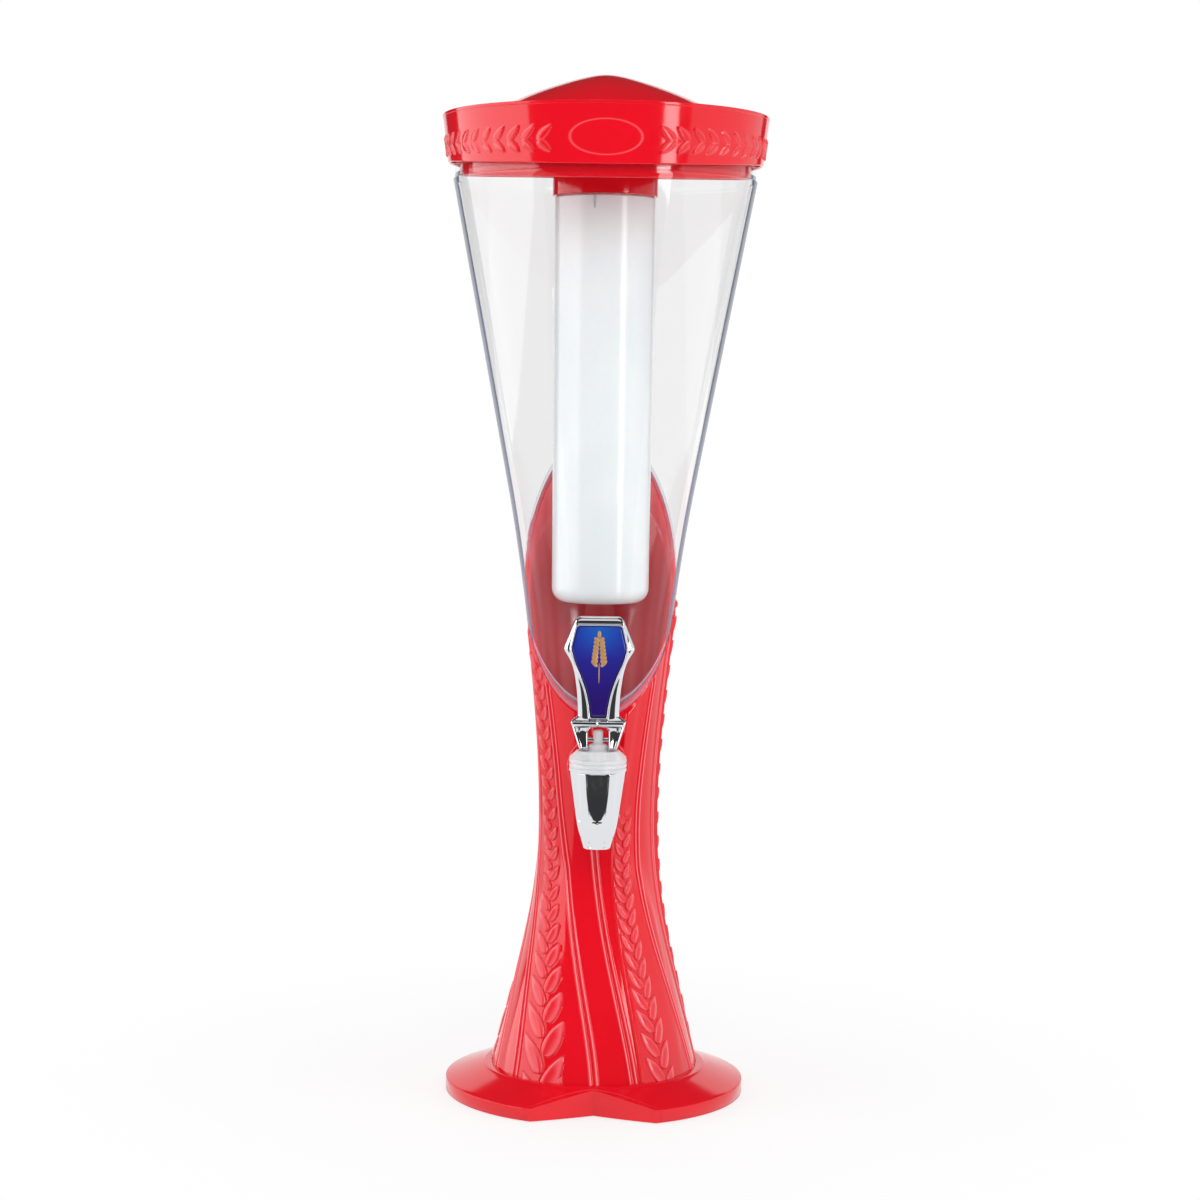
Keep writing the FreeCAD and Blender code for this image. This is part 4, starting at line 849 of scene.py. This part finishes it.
def lidRelief(azimuth, z):
    # engraved oval at the front, and pairs of leaves in a row from it to the back, tips towards the oval;
    # painted highlight along the oval's line and on the leaf crowns
    l = lid
    u = np.radians(np.abs(azimuth)) * l["reliefRadius"]
    oval = np.hypot(u / l["ovalHalf"][0], (z - l["ovalHeight"]) / l["ovalHalf"][1])
    line = hill((oval - 1) * 11.5, l["ovalWidth"])
    # painted highlight along the engraved line
    relief, paintedLight = -l["ovalDepth"] * line, 0.4 * line
    degree = l["reliefRadius"] * math.pi / 180
    count = math.floor((l["leafEnd"] - l["leafStart"]) / l["leafPitch"])
    middle = l["leafMiddle"] + l["leafRise"] * held(np.abs(azimuth) / 90) ** 1.5
    for ahead in (-2, -1, 0, 1, 2):
        number = np.clip(np.floor((np.abs(azimuth) - l["leafStart"]) / l["leafPitch"]) + ahead, 0, count)
        foot = (l["leafStart"] + l["leafPitch"] * number) * degree
        length = blendOf(l["leafLength"], l["leafShort"], held((foot / degree - 20) / 70))
        for side, shorter in ((1, 1.0), (-1, 0.86)):
            tilt = math.radians(l["leafTilt"] if side > 0 else l["leafTilt"] - 4)
            back, up = foot - u, (z - middle) * side - 0.25
            along = (back * math.cos(tilt) + up * math.sin(tilt)) / (length * shorter)
            off = (back * math.sin(tilt) - up * math.cos(tilt)) / (length * l["leafWidth"])
            share = off / teardropWidth(held(along))
            dome = held(1 - share ** 2) ** 0.34 * (along > 0) * (along < 1)
            relief = np.maximum(relief, l["leafTall"] * dome * (0.8 + 0.2 * np.clip(share, -1, 1)))
            # painted highlight on each leaf's crown
            paintedLight = np.maximum(paintedLight, 0.3 * hill(dome - 0.6, 0.2) * (dome > 0))
    return relief, paintedLight


def lidBand():
    # flared skirt with its relief, rounded lip, well round the dome, and the inside to the drooping edge
    l = lid
    azimuth = np.linspace(-180, 180, l["columns"], endpoint=False)
    skirt = clampedSpline(*zip(*l["skirt"]), *l["skirtSlopes"])
    edge = saddleHeight(l["sideHeight"], l["droop"], l["droopRadius"] * np.cos(np.radians(azimuth)))
    z = edge + 0.35 + (l["bandTop"] - edge - 0.35) * np.linspace(0, 1, l["bandRows"])[:, None]
    fade = held((z - edge) / 1.5) * held(l["reliefTop"] - z)
    relief, paintedLight = lidRelief(azimuth[None], z)
    outer = np.stack([np.minimum(skirt(z) + relief * fade, l["edgeRadius"]), z], -1)
    top, e, footR = l["edgeHeight"], l["edgeRadius"], l["domeFoot"] + 0.5
    lip = softened([l["lipFoot"], (e, l["lipEdge"]), (e, top), (e - 2.2, top), (e - 2.9, wellHeight),
                    (footR, wellHeight)], 0.45)
    inner = [(footR, underWell), (e - 6, underWell), (e - 3.6, underWell - 0.2), (e - 3.3, underWell - 1.0)]
    down = edge + 0.3 + (underWell - 2.0 - edge - 0.3) * np.linspace(1, 0, 8)[:, None]
    innerSkirt = np.stack([skirt(down) - l["wall"], down], -1)
    rows = [outer, evenRows(np.concatenate([lip, inner]), azimuth), innerSkirt,
            oneRow(skirt(edge) - l["wall"] + 0.3, edge), oneRow(skirt(edge) - 0.3, edge)]
    crest = np.zeros((sum(map(len, rows)), len(azimuth)))
    # painted highlight of the relief, faded out at its edges
    crest[:len(outer)] = paintedLight * fade
    return sweptPiece("lid_band", rows, azimuth, "lid", redGloss,
                      closeAlong=True, crest=crest)


def domeProfile():
    # height over radius: a cubic through apex, stations and foot, level at the apex
    l = lid
    stations = [(0.0, l["apex"]), *l["dome"], (l["domeFoot"], wellHeight)]
    return clampedSpline(*zip(*stations), *l["domeSlopes"])


def lidDome():
    # dome from its foot up to the apex and, one wall lower, down again
    l = lid
    curve = domeProfile()
    radius = np.concatenate([[0.0], np.geomspace(0.6, l["domeFoot"], 50)])
    outer = np.stack([radius, curve(radius)], -1)[::-1]
    under = np.stack([radius, curve(radius) - l["wall"]], -1)
    foot = [(l["domeFoot"] + 0.6, wellHeight - 0.1)]
    profile = np.concatenate([foot, outer, under[:-1]])
    return turnedPiece("lid_dome", profile, "lid", redGloss, 200, closed=True)


def lidPlug():
    # ring that hangs into the tank's neck, tapered towards its foot,
    # its edge drooping in front and rising behind
    l = lid
    azimuth = np.linspace(-180, 180, 200, endpoint=False)
    y = l["plugRadius"] * np.cos(np.radians(azimuth))
    edge = saddleHeight(l["plugSide"], l["plugDroop"], y, l["plugRise"])
    high = underWell + 0.2

    def outside(z):
        taper = (z - l["plugTaper"]) / (l["plugSide"] - l["plugTaper"])
        return np.where(z > l["plugSide"], l["plugRadius"], blendOf(l["plugFoot"], l["plugRadius"], taper))

    up = edge + 0.4 + (high - edge - 0.4) * np.linspace(0, 1, 16)[:, None]
    rows = [np.stack([outside(up), up], -1), np.stack([outside(up[::-1]) - l["plugWall"], up[::-1]], -1),
            oneRow(outside(edge) - l["plugWall"] + 0.4, edge), oneRow(outside(edge) - 0.4, edge)]
    return sweptPiece("lid_plug", rows, azimuth, "lid", redGloss, closeAlong=True)


def lidCollar():
    # upright tube under the dome that takes the ice tube's neck
    l = lid
    high = float(domeProfile()(l["collarRadius"])) - l["wall"] / 2
    r, w, foot = l["collarRadius"], l["collarWall"], l["collarFoot"]
    low = (r - w / 2, foot)
    profile = softened([low, (r, foot), (r, high), (r - w, high), (r - w, foot), low], 0.3)
    return turnedPiece("lid_collar", profile[:-1], "lid", redGloss, 128, closed=True)


def restRibs():
    # upright plates between skirt and plug ring: eight corners each, turned to their places
    l = lid
    turn = np.radians(np.arange(l["ribs"]) * 360 / l["ribs"])[:, None]
    near, far = l["ribReach"]
    x = np.array([-1, 1, 1, -1] * 2)[None] * l["ribHalf"]
    y = np.array([near, near, far, far] * 2)[None]
    z = np.array([l["ribFoot"]] * 4 + [underWell + 0.2] * 4)[None] + 0 * turn
    points = np.stack([x * np.cos(turn) - y * np.sin(turn), x * np.sin(turn) + y * np.cos(turn), z], -1)
    faces = np.array([(3, 2, 1, 0), (4, 5, 6, 7), (0, 1, 5, 4), (1, 2, 6, 5), (2, 3, 7, 6), (3, 0, 4, 7)])
    quads = (faces[None] + 8 * np.arange(l["ribs"])[:, None, None]).reshape(-1, 4)
    return meshPiece("lid_ribs", points.reshape(-1, 3), quads, "lid", redGloss, smooth=False)


for piece in (lidBand(), lidDome(), lidPlug(), lidCollar(), restRibs()):
    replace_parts(piece, "lid")
print("lid")


# tap: clear ribbed head with its shank, faceted chrome shroud, spring

tap = dict(
    y=-60.0, shank=boss["height"], headFoot=188.1, headTop=199.0, headRadius=15.4, bevel=4.0,
    bevelHeight=3.6, groove=0.75, grooves=3, land=0.6, chamber=7.4, chamberFloor=174.4, chamberTop=192.8,
    tube=10.4, tubeFoot=170.4, outlet=4.2, outletTube=5.6, outletFoot=159.4, gland=4.65,
    flange=11.5, flangeFace=-47.2, washerFace=-43.0, shankRadius=8.0, shankBore=4.4, shankEnd=-12.0,
)


def tapHead():
    # turned about the tap's own axis: chamber inside, outlet tube, grooved wall and bevelled shoulder
    t = tap
    pitch = (t["headTop"] - t["bevelHeight"] - t["headFoot"]) / t["grooves"]
    r = t["headRadius"]
    low = t["headFoot"] + pitch * np.arange(t["grooves"])
    level = 0 * low
    ribs = np.stack([np.stack([r + level, low + pitch * t["land"]], -1),
                     np.stack([r - t["groove"] + level, low + pitch * (1 + t["land"]) / 2], -1),
                     np.stack([r + level, low + pitch], -1)], axis=1).reshape(-1, 2)
    start = (t["outlet"], t["outletFoot"] + 3)
    corners = [start, (t["outlet"], t["outletFoot"]), (t["outletTube"], t["outletFoot"]),
               (t["outletTube"], t["tubeFoot"]), (t["tube"], t["tubeFoot"]), (t["tube"], t["headFoot"]),
               (r, t["headFoot"]), *ribs.tolist(), (r - t["bevel"], t["headTop"]),
               (t["gland"], t["headTop"]), (t["gland"], t["chamberTop"]), (t["chamber"], t["chamberTop"]),
               (t["chamber"], t["chamberFloor"]), (t["outlet"], t["chamberFloor"]), start]
    profile = softened(corners, 0.28, 3)
    return turnedPiece("tap_head", profile[:-1], "tower", tapClear, 128, closed=True,
                       centre=(0, t["y"]))


def tapShank():
    # turned about the level axis: flange against the washer, then the threaded tube through both walls
    t = tap
    face, back = t["flangeFace"], t["washerFace"]
    start, r = t["y"] + t["chamber"] + 1.5, t["shankRadius"]
    corners = [(t["shankBore"], start), (r, start), (r, face), (t["flange"], face), (t["flange"], back),
               (r, back), (r, t["shankEnd"]), (t["shankBore"], t["shankEnd"]), (t["shankBore"], start)]
    profile = softened(corners, 0.3, 3)
    return turnedPiece("tap_shank", profile[:0:-1], "tower", tapClear, 96, closed=True,
                       level=True, centre=(0, t["shank"]))


for piece in (tapHead(), tapShank()):
    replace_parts(piece, "tap_body")

shroud = dict(
    stations=[(187.95, 14.9), (180.4, 13.8), (168.4, 12.2), (155.7, 10.1), (152.0, 8.9)],
    slopes=(0.42, 0.145), mouthRadius=7.0, mouth=146.0,
    facetPoint=161.5, facet=[(161.5, 11.08), (174.0, 11.95), (188.0, 13.68)],
    facetSlopes=(0.15, 0.125), sharp=9.0, bow=0.35, throat=5.75, step=170.25, bore=10.55,
    notchHalf=5.0, notchLow=146.9, notchHigh=150.4, notchDepth=0.9,
    ribLow=151.0, ribHigh=163.5, ribTall=0.35,
)


def shroudPiece():
    # round outline cut by six leaning flats that run out to points; slots beside the mouth
    c = shroud
    places, radii = zip(*c["stations"][::-1])
    outline = clampedSpline(places, radii, *c["slopes"])
    facetReach = clampedSpline(*zip(*c["facet"]), *c["facetSlopes"])
    azimuth = np.linspace(0, 360, 288, endpoint=False)
    toFlat = (azimuth + 30) % 60 - 30
    top, low = c["stations"][0][0], places[0]
    z = np.linspace(c["mouth"] + 0.7, top - 0.25, 130)[:, None]
    waist = blendOf(c["mouthRadius"] + 0.5, radii[0], held((z - c["mouth"] - 1) / (low - c["mouth"] - 1)))
    plain = np.where(z > low, outline(np.maximum(z, low)), waist)
    point = c["facetPoint"]
    flatAt = np.where(z > point, facetReach(np.maximum(z, point)), plain + (point - z) * 0.25)
    hollow = c["bow"] * held(1 - (toFlat / 13) ** 2) * held((z - 163) / 8)
    flat = flatAt / np.cos(np.radians(toFlat)) - hollow
    sharp = c["sharp"]  # rounded minimum of the round outline and the flat
    radius = -np.log(np.exp(-sharp * (plain - flatAt)) + np.exp(-sharp * (flat - flatAt))) / sharp + flatAt
    ridge = np.abs(toFlat) - 30
    slot = held((c["notchHalf"] + ridge + 4.0) / 1.2) * held((z - c["notchLow"]) / 0.4)
    slot = slot * held((c["notchHigh"] - z) / 0.5) * (np.abs(ridge) < 6)
    rib = c["ribTall"] * hill(toFlat, 2.4) * held((c["ribHigh"] - z) / 3) * held((z - c["ribLow"]) / 3)
    radius = radius - c["notchDepth"] * 0.5 * slot + rib
    outer = np.stack([radius, z + 0 * radius], -1)
    bore, step, throat, mouth, mouthR = c["bore"], c["step"], c["throat"], c["mouth"], c["mouthRadius"]
    lip = [(14.4, top), (bore + 0.3, top), (bore, top - 0.3), (bore, step + 0.2), (bore - 0.3, step),
           (throat + 0.3, step), (throat, step - 0.3), (throat, mouth + 0.3), (throat + 0.25, mouth),
           (mouthR - 0.15, mouth), (mouthR + 0.2, mouth + 0.25)]
    profile = np.concatenate([outer, evenRows(lip, azimuth)])
    points = ringPoint(profile[..., 0], azimuth, profile[..., 1]) + np.array([0, tap["y"], 0])
    return gridPiece("spout_shell", points, "tower", chrome, closeAlong=True)


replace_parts(shroudPiece(), "spout_shroud")

spring = dict(radius=4.3, wire=0.45, turns=4.5, foot=184.2, perTurn=28)


def springPiece():
    # helix of round wire from the stem's collar to the gland
    c = spring
    lowZ, highZ = c["foot"] + c["wire"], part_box("return_spring")[1][2] / mm - c["wire"]
    share = np.linspace(0, 1, int(c["turns"] * c["perTurn"]) + 1)
    share = np.concatenate([share[:1], share, share[-1:]])[:, None]  # the doubled ends close to points
    turn, wireTurn = share * c["turns"] * 360, np.linspace(0, 2 * np.pi, 10, endpoint=False)[None]
    thick = np.full(share.shape, c["wire"])
    thick[[0, -1]] = 0
    height = blendOf(lowZ, highZ, share) + thick * np.sin(wireTurn)
    points = ringPoint(c["radius"] + thick * np.cos(wireTurn), turn, height) + np.array([0, tap["y"], 0])
    piece = gridPiece("spring_coil", points, None, steel, flip=True)
    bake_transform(piece)
    return piece


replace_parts(springPiece(), "return_spring")
print("tap head, shroud and spring")


# handle: chrome paddle with a bead round its inset, and the fork that straddles the stem

handle = dict(
    y=tap["y"], half=4.5, middle=243.0,
    paddle=[(12.4, 270.7), (19.2, 253.6), (14.9, 246.5), (13.0, 240.0), (11.6, 231.0), (11.0, 221.0),
            (10.95, 213.6)],
    inset=[(11.45, 265.6), (14.3, 253.6), (12.5, 246.5), (9.6, 240.4), (6.2, 231.1), (4.6, 223.4),
           (3.9, 217.3)],
    cuts=[3.6, 2.2, 3.0, 3.0, 4.0, 3.0, 0.4], insetCuts=[1.8, 1.6, 3.0, 3.0, 4.0, 3.0, 1.0],
    bead=1.5, beadHeight=0.8, steps=8,
)


def handleOutline(corners, cuts, margin):
    # right-hand corners from top to foot, drawn in by the margin, mirrored to a closed loop and rounded
    corner = np.array(corners)
    isEnd = np.arange(len(corner)) % (len(corner) - 1) == 0
    inwards = margin * np.sign(corner[:, 1] - handle["middle"]) * isEnd
    corner = corner - np.stack([np.full(len(corner), margin), inwards], -1)
    loop = np.concatenate([corner, corner[::-1] * [-1, 1]])
    cut = np.concatenate([cuts, cuts[::-1]])
    start = (loop[-1] + loop[0]) / 2
    closed = np.concatenate([[start], loop, [start]])
    return softened(closed, np.concatenate([[0], cut, [0]]), handle["steps"])[1:-1]


def handlePaddle():
    # outlines stacked from the flat back round the side, in over the bevel to the bead,
    # and down to the inset's seat
    h = handle
    front, back = h["y"] - h["half"], h["y"] + h["half"]

    def row(margin, y, share=0.0, insetMargin=0.0, shrink=1.0):
        outline = handleOutline(h["paddle"], h["cuts"], margin)
        if share:
            outline = blendOf(outline, handleOutline(h["inset"], h["insetCuts"], insetMargin), share)
        outline = (outline - [0, h["middle"]]) * shrink + [0, h["middle"]]
        return np.stack([outline[:, 0], np.full(len(outline), y), outline[:, 1]], -1)

    bead, tall = h["bead"], h["beadHeight"]
    t = np.linspace(0, 1, 6)
    rows = [row(2.0, back, shrink=0.0), row(2.0, back, shrink=0.5), row(2.2, back)]
    rows += [row(2.0 * (1 - s) ** 2, back - 2.0 * s ** 2) for s in t]
    rows += [row(0.15 * (1 - abs(2 * s - 1)), blendOf(back - 2.3, front + 3.1, s)) for s in t[1:-1]]
    rows += [row(0.0, front + 3.0)]
    rows += [row(0, front + 2.7 - 2.4 * math.sin(s * math.pi / 2), 0.86 * s ** 1.3 + 0.01, -bead)
             for s in t]
    rows += [row(0, front + 0.15, 0.95, -bead), row(0, front + 0.1, 1, -bead)]
    rows += [row(0, front - tall * math.sin(s * math.pi) ** 0.7 * (s < 1), 1, -bead * (1 - s * 0.8))
             for s in np.linspace(0.04, 1, 12)]
    rows += [row(0, front + 0.6, 1, -0.25), row(0, front + 1.7, 1, -0.2), row(0, front + 1.8, 1, 0.2),
             row(0, front + 1.8, 1, 0, 0.5), row(0, front + 1.8, 1, 0, 0.0)]
    return gridPiece("handle_paddle", np.stack(rows), "handle", chrome, flip=True)


def handleInset():
    # shallow dome over the inset's outline: (share of the outline, height in front of the paddle's face)
    h = handle
    steps = np.array([(1.0, 1.75), (1.0, 0.55), (0.985, 0.3), (0.95, 0.15), (0.85, -0.05), (0.7, -0.15),
                      (0.5, -0.22), (0.3, -0.25), (0.1, -0.26), (0.0, -0.26)])
    outline = handleOutline(h["inset"], h["insetCuts"], 0.0)
    middle = np.array([0, 246.0])
    flat = middle + (outline[None] - middle) * steps[:, :1, None]
    y = np.broadcast_to(h["y"] - h["half"] + steps[:, 1:], flat.shape[:2])
    points = np.stack([flat[..., 0], y, flat[..., 1]], -1)
    return gridPiece("handle_inset", points, "handle", insetBlue, flip=True)


fork = dict(
    outer=[(199.3, 9.7), (200.9, 10.2), (203.7, 11.2), (209.3, 13.1), (212.5, 14.2), (214.9, 14.9),
           (216.0, 13.4), (217.4, 11.2)],
    inner=[(199.3, 5.5), (209.9, 5.5), (211.9, 3.5), (212.0, 0.0), (217.4, 0.0)],
    front=[(199.3, -64.9), (200.0, -67.0), (201.2, -69.3), (203.2, -69.0), (209.0, -66.8), (211.9, -65.2),
           (213.4, -66.2), (214.6, -66.0), (215.2, -65.0), (217.4, -63.4)],
    back=[(199.3, -56.0), (200.3, -55.0), (217.4, -56.0)], foot=199.3, head=217.4, round=0.45,
)


def roundedSections(section, cut):
    # closed sections (rows by corners by xyz): each corner becomes a short curve, as in softened
    before, after = np.roll(section, 1, axis=1) - section, np.roll(section, -1, axis=1) - section
    shareBefore = np.minimum(cut / (np.linalg.norm(before, axis=-1, keepdims=True) + 1e-9), 0.45)
    shareAfter = np.minimum(cut / (np.linalg.norm(after, axis=-1, keepdims=True) + 1e-9), 0.45)
    bends = [section + before * shareBefore * (1 - t) ** 2 + after * shareAfter * t ** 2
             for t in np.linspace(0, 1, 4)]
    return np.stack(bends, axis=2).reshape(len(section), -1, 3)


def forkLeg(side):
    # level sections up the leg: a rectangle from inner to outer edge, corners cut, with a groove in front
    f = fork
    z = np.unique(np.concatenate([np.linspace(f["foot"], f["head"], 46), [209.9, 211.88, 211.96, 214.9]]))
    outer, inner, front, back = (np.interp(z, *zip(*f[key])) for key in ("outer", "inner", "front", "back"))
    solid = (inner < 0.2)
    middle = (inner + outer) / 2
    fall, groove = np.where(solid, 0.4, 1.5), np.where(solid, 0.1, 0.75)
    x = np.stack([inner, inner, inner + 0.4, inner + 1.0, middle - 0.2, middle + 0.7, outer - 1.3,
                  outer - 0.5, outer, outer, outer - 1.0, inner + np.where(solid, 0.1, 0.8), inner], -1)
    y = np.stack([back - 1.0, front + fall, front + 0.35, front + 0.05, front + groove,
                  front + groove + 0.1, front + 0.35, front + 0.7, front + 2.0,
                  back - 1.2, back, back, back - 0.8], -1)
    section = roundedSections(np.stack([x * side, y, np.broadcast_to(z[:, None], x.shape)], -1), f["round"])
    centre = section.mean(axis=1, keepdims=True) + np.zeros_like(section)
    foot, head = centre[:1] * [1, 1, 0] + [0, 0, f["foot"]], centre[-1:] * [1, 1, 0] + [0, 0, f["head"]]
    name = "handle_leg_right" if side > 0 else "handle_leg_left"
    points = np.concatenate([foot, section, head])
    return gridPiece(name, points, "handle", chrome, flip=side < 0)


ear = dict(
    ranks=7, grain=(1.15, 0.36, 2.5), shrink=0.13, lean=40, aside=2.5, narrowing=0.2, foot=246.0, pitch=2.1,
    tip=(0.95, 0.36, 2.1), tipHeight=261.4, stalk=(0.3, 0.3, 6.0), stalkHeight=241.0,
)


def barleyEar():
    # upright ear of small gilt grains in two ranks with a stalk, lying on the inset:
    # half ellipsoids, each leaning out from the middle
    e = ear
    count = 2 * e["ranks"]
    turn, up = np.meshgrid(np.linspace(0, 2 * np.pi, 12, endpoint=False), np.linspace(0, np.pi / 2, 6))
    unit = np.stack([np.cos(turn) * np.cos(up), -np.sin(up), np.sin(turn) * np.cos(up)], -1)
    rank = np.repeat(np.arange(e["ranks"]), 2)
    side = np.tile([-1.0, 1.0], e["ranks"])
    wide, deep, long = e["grain"]
    grains = np.stack([np.full(count, wide), np.full(count, deep), long - e["shrink"] * rank], -1)
    size = np.concatenate([grains, [e["tip"], e["stalk"]]])
    lean = np.radians(np.concatenate([side * e["lean"], [0, 0]]))
    place = np.stack([side * (e["aside"] - e["narrowing"] * rank), e["foot"] + e["pitch"] * rank], -1)
    place = np.concatenate([place, [[0, e["tipHeight"]], [0, e["stalkHeight"]]]])
    grain = unit[None] * size[:, None, None]
    c, n = np.cos(lean)[:, None, None], np.sin(lean)[:, None, None]
    x = grain[..., 0] * c + grain[..., 2] * n + place[:, 0, None, None]
    z = -grain[..., 0] * n + grain[..., 2] * c + place[:, 1, None, None]
    y = grain[..., 1] + handle["y"] - handle["half"] - 0.16
    points = np.stack([x, y, z], -1)
    perGrain = unit.shape[0] * unit.shape[1]
    quads = gridQuads(*unit.shape[:2])[None] + perGrain * np.arange(len(size))[:, None, None]
    return meshPiece("inset_barley", points.reshape(-1, 3), quads.reshape(-1, 4), "handle", gilt)


def insetPaint():
    # printed insert under gloss: bright blue at the top centre running to violet at the foot
    p = newPaint("blue insert")
    x, _, z = p.parts(p.place())
    down = z.ramped(0.222, 0.266)
    glow = (1 - abs(x) * 62.0).atLeast(0.0) * z.ramped(0.246, 0.264)
    ground = p.mixColour(down, colour(38, 14, 104), colour(34, 40, 150))
    tone = p.mixColour(glow, ground, colour(20, 88, 178))
    gloss = p.noise(200.0) * 0.04 + 0.14
    return p.finish(p.shader(Base_Color=tone, Roughness=gloss, Coat_Weight=0.35, Coat_Roughness=0.05))


insetBlue = insetPaint()
gilt = dullMaterial("gilt print", (206, 158, 98), 0.28, 0.35, 900.0)
for piece in (handlePaddle(), forkLeg(-1), forkLeg(1)):
    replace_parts(piece, "tap_handle")
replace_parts(handleInset(), "handle_label")
barleyEar()
print("handle")


# stage: floor, world, lamps and camera

studio = dict(
    fill=0.5, floorHalf=6.0, floorTone=0.93, floorFadeStart=0.07, floorFadeEnd=0.40, floorLeast=0.72,
    dark=0.045, screenHeight=3200.0, screenReach=3200.0, screenBehind=1900.0, openBehind=1250.0,
    apron=(420.0, 40.0),
)


def floorPiece():
    # white to the camera and in gloss away from the object; near it the matt floor shows part of the shadow
    s = studio
    p = newPaint("studio floor")
    x, y, _ = p.parts(p.place())
    away = (x * x + y * y) ** 0.5
    share = away.ramped(s["floorFadeStart"], s["floorFadeEnd"], s["floorLeast"], 1.0)
    share = share * p.rays(cameraRay, glossyRay, transmittedRay)
    tone, half = s["floorTone"], s["floorHalf"]
    matt = p.node("ShaderNodeBsdfDiffuse", inputs={"Color": (tone, tone, tone, 1)})
    glow = p.node("ShaderNodeEmission", inputs={"Color": (1, 1, 1, 1), "Strength": 1.0})
    finish = p.finish(p.mixShader(share, matt, glow))
    mesh = bpy.data.meshes.new("floor")
    corners = [(-half, -half, 0), (half, -half, 0), (half, half, 0), (-half, half, 0)]
    mesh.from_pydata(corners, [], [(0, 1, 2, 3)])
    mesh.materials.append(finish)
    floor = bpy.data.objects.new("floor", mesh)
    bpy.context.scene.collection.objects.link(floor)


def makeWorld():
    # white to the camera and in gloss, softer as a light
    p = Paint(bpy.data.worlds.new("studio"))
    seen = p.rays(cameraRay, glossyRay, transmittedRay)
    strength = seen * (1 - studio["fill"]) + studio["fill"]
    surface = p.node("ShaderNodeBackground", inputs={"Color": (1, 1, 1, 1), "Strength": strength})
    bpy.context.scene.world = p.finish(surface)


def softLamp(name, azimuth, distance, height, size, radiance, mirror=True, matt=True, target=(0, 0, 0.28)):
    # radiance is what a mirror shows; power is radiance times area times pi
    turn = math.radians(azimuth)
    place = Vector((distance * math.sin(turn), -distance * math.cos(turn), height))
    lamp = bpy.data.lights.new(name, "AREA")
    lamp.shape, lamp.size, lamp.size_y = "RECTANGLE", size[0], size[1]
    lamp.energy = radiance * size[0] * size[1] * math.pi
    holder = bpy.data.objects.new(name, lamp)
    holder.location = place
    holder.rotation_euler = (Vector(target) - place).to_track_quat("-Z", "Y").to_euler()
    holder.visible_camera = False
    holder.visible_transmission = False
    holder.visible_glossy, holder.visible_diffuse = mirror, matt
    bpy.context.scene.collection.objects.link(holder)


def darkScreen():
    # bell round the studio seen only in gloss: over the floor in front, open behind up to openBehind,
    # closed on top
    s = studio
    p = newPaint("dark studio screen")
    finish = p.finish(p.node("ShaderNodeEmission", inputs={"Color": (1, 1, 1, 1), "Strength": s["dark"]}))
    azimuth = np.linspace(-180, 180, 180, endpoint=False)
    away = np.abs(azimuth)
    behind, beside = easedRun((away - 145) / 15), easedRun((away - 42) / 12)
    wide = blendOf(s["screenReach"], s["screenBehind"], behind)
    nearest = s["apron"][0] + s["apron"][1] * held(away / 14)
    apron = blendOf(nearest, blendOf(s["screenReach"] - 10, s["screenBehind"], behind), beside)
    low = blendOf(2.0, s["openBehind"], behind)
    high = s["screenHeight"]
    rows = [oneRow(apron, low), oneRow(wide, low), oneRow(wide, high), oneRow(0 * wide + 2, high)]
    profile = np.concatenate(rows)
    points = ringPoint(profile[..., 0], azimuth, profile[..., 1]) * mm
    mesh = bpy.data.meshes.new("dark_screen")
    mesh.from_pydata(points.reshape(-1, 3).tolist(), [], gridQuads(len(rows), len(azimuth)).tolist())
    mesh.materials.append(finish)
    screen = bpy.data.objects.new("dark_screen", mesh)
    screen.visible_camera = screen.visible_diffuse = screen.visible_transmission = False
    screen.visible_shadow = screen.visible_volume_scatter = False
    bpy.context.scene.collection.objects.link(screen)


view = dict(distance=1.471, height=0.3857, pitch=0.0751, roll=0.0133, lens=79.7, sensor=36.0)


def makeCamera():
    # in front of the tap, pitched down and rolled a little
    v = view
    forward = Vector((0, math.cos(v["pitch"]), -math.sin(v["pitch"])))
    up = Vector((0, math.sin(v["pitch"]), math.cos(v["pitch"])))
    right = Vector((1, 0, 0))
    rolledRight = right * math.cos(v["roll"]) + up * math.sin(v["roll"])
    rolledUp = up * math.cos(v["roll"]) - right * math.sin(v["roll"])
    data = bpy.data.cameras.new("camera")
    data.lens, data.sensor_width = v["lens"], v["sensor"]
    data.sensor_fit = "HORIZONTAL"
    holder = bpy.data.objects.new("camera", data)
    turn = Matrix((rolledRight, rolledUp, -forward)).transposed().to_4x4()
    holder.matrix_world = Matrix.Translation((0, -v["distance"], v["height"])) @ turn
    bpy.context.scene.collection.objects.link(holder)
    bpy.context.scene.camera = holder


floorPiece()
makeWorld()
darkScreen()
softLamp("left softbox", -90, 1.5, 0.6, (2.2, 2.2), 2.4, matt=False)
softLamp("left glow", -80, 1.5, 0.6, (1.6, 1.6), 1.2, mirror=False)
softLamp("right strip", 45, 1.8, 0.55, (0.34, 1.7), 7.5, matt=False)
softLamp("right softbox", 100, 1.5, 0.6, (2.6, 2.2), 0.85, matt=False)
softLamp("right glow", 70, 1.6, 0.6, (1.6, 1.6), 1.2, mirror=False)
softLamp("front glow", 5, 1.9, 1.3, (1.4, 1.2), 3.2, mirror=False)
softLamp("back glow", 180, 1.6, 0.7, (1.8, 1.6), 1.0, mirror=False)
softLamp("top softbox", 0, 0.9, 2.0, (1.4, 1.0), 0.9)
makeCamera()
bpy.context.scene.view_settings.view_transform = "Standard"
print("stage")
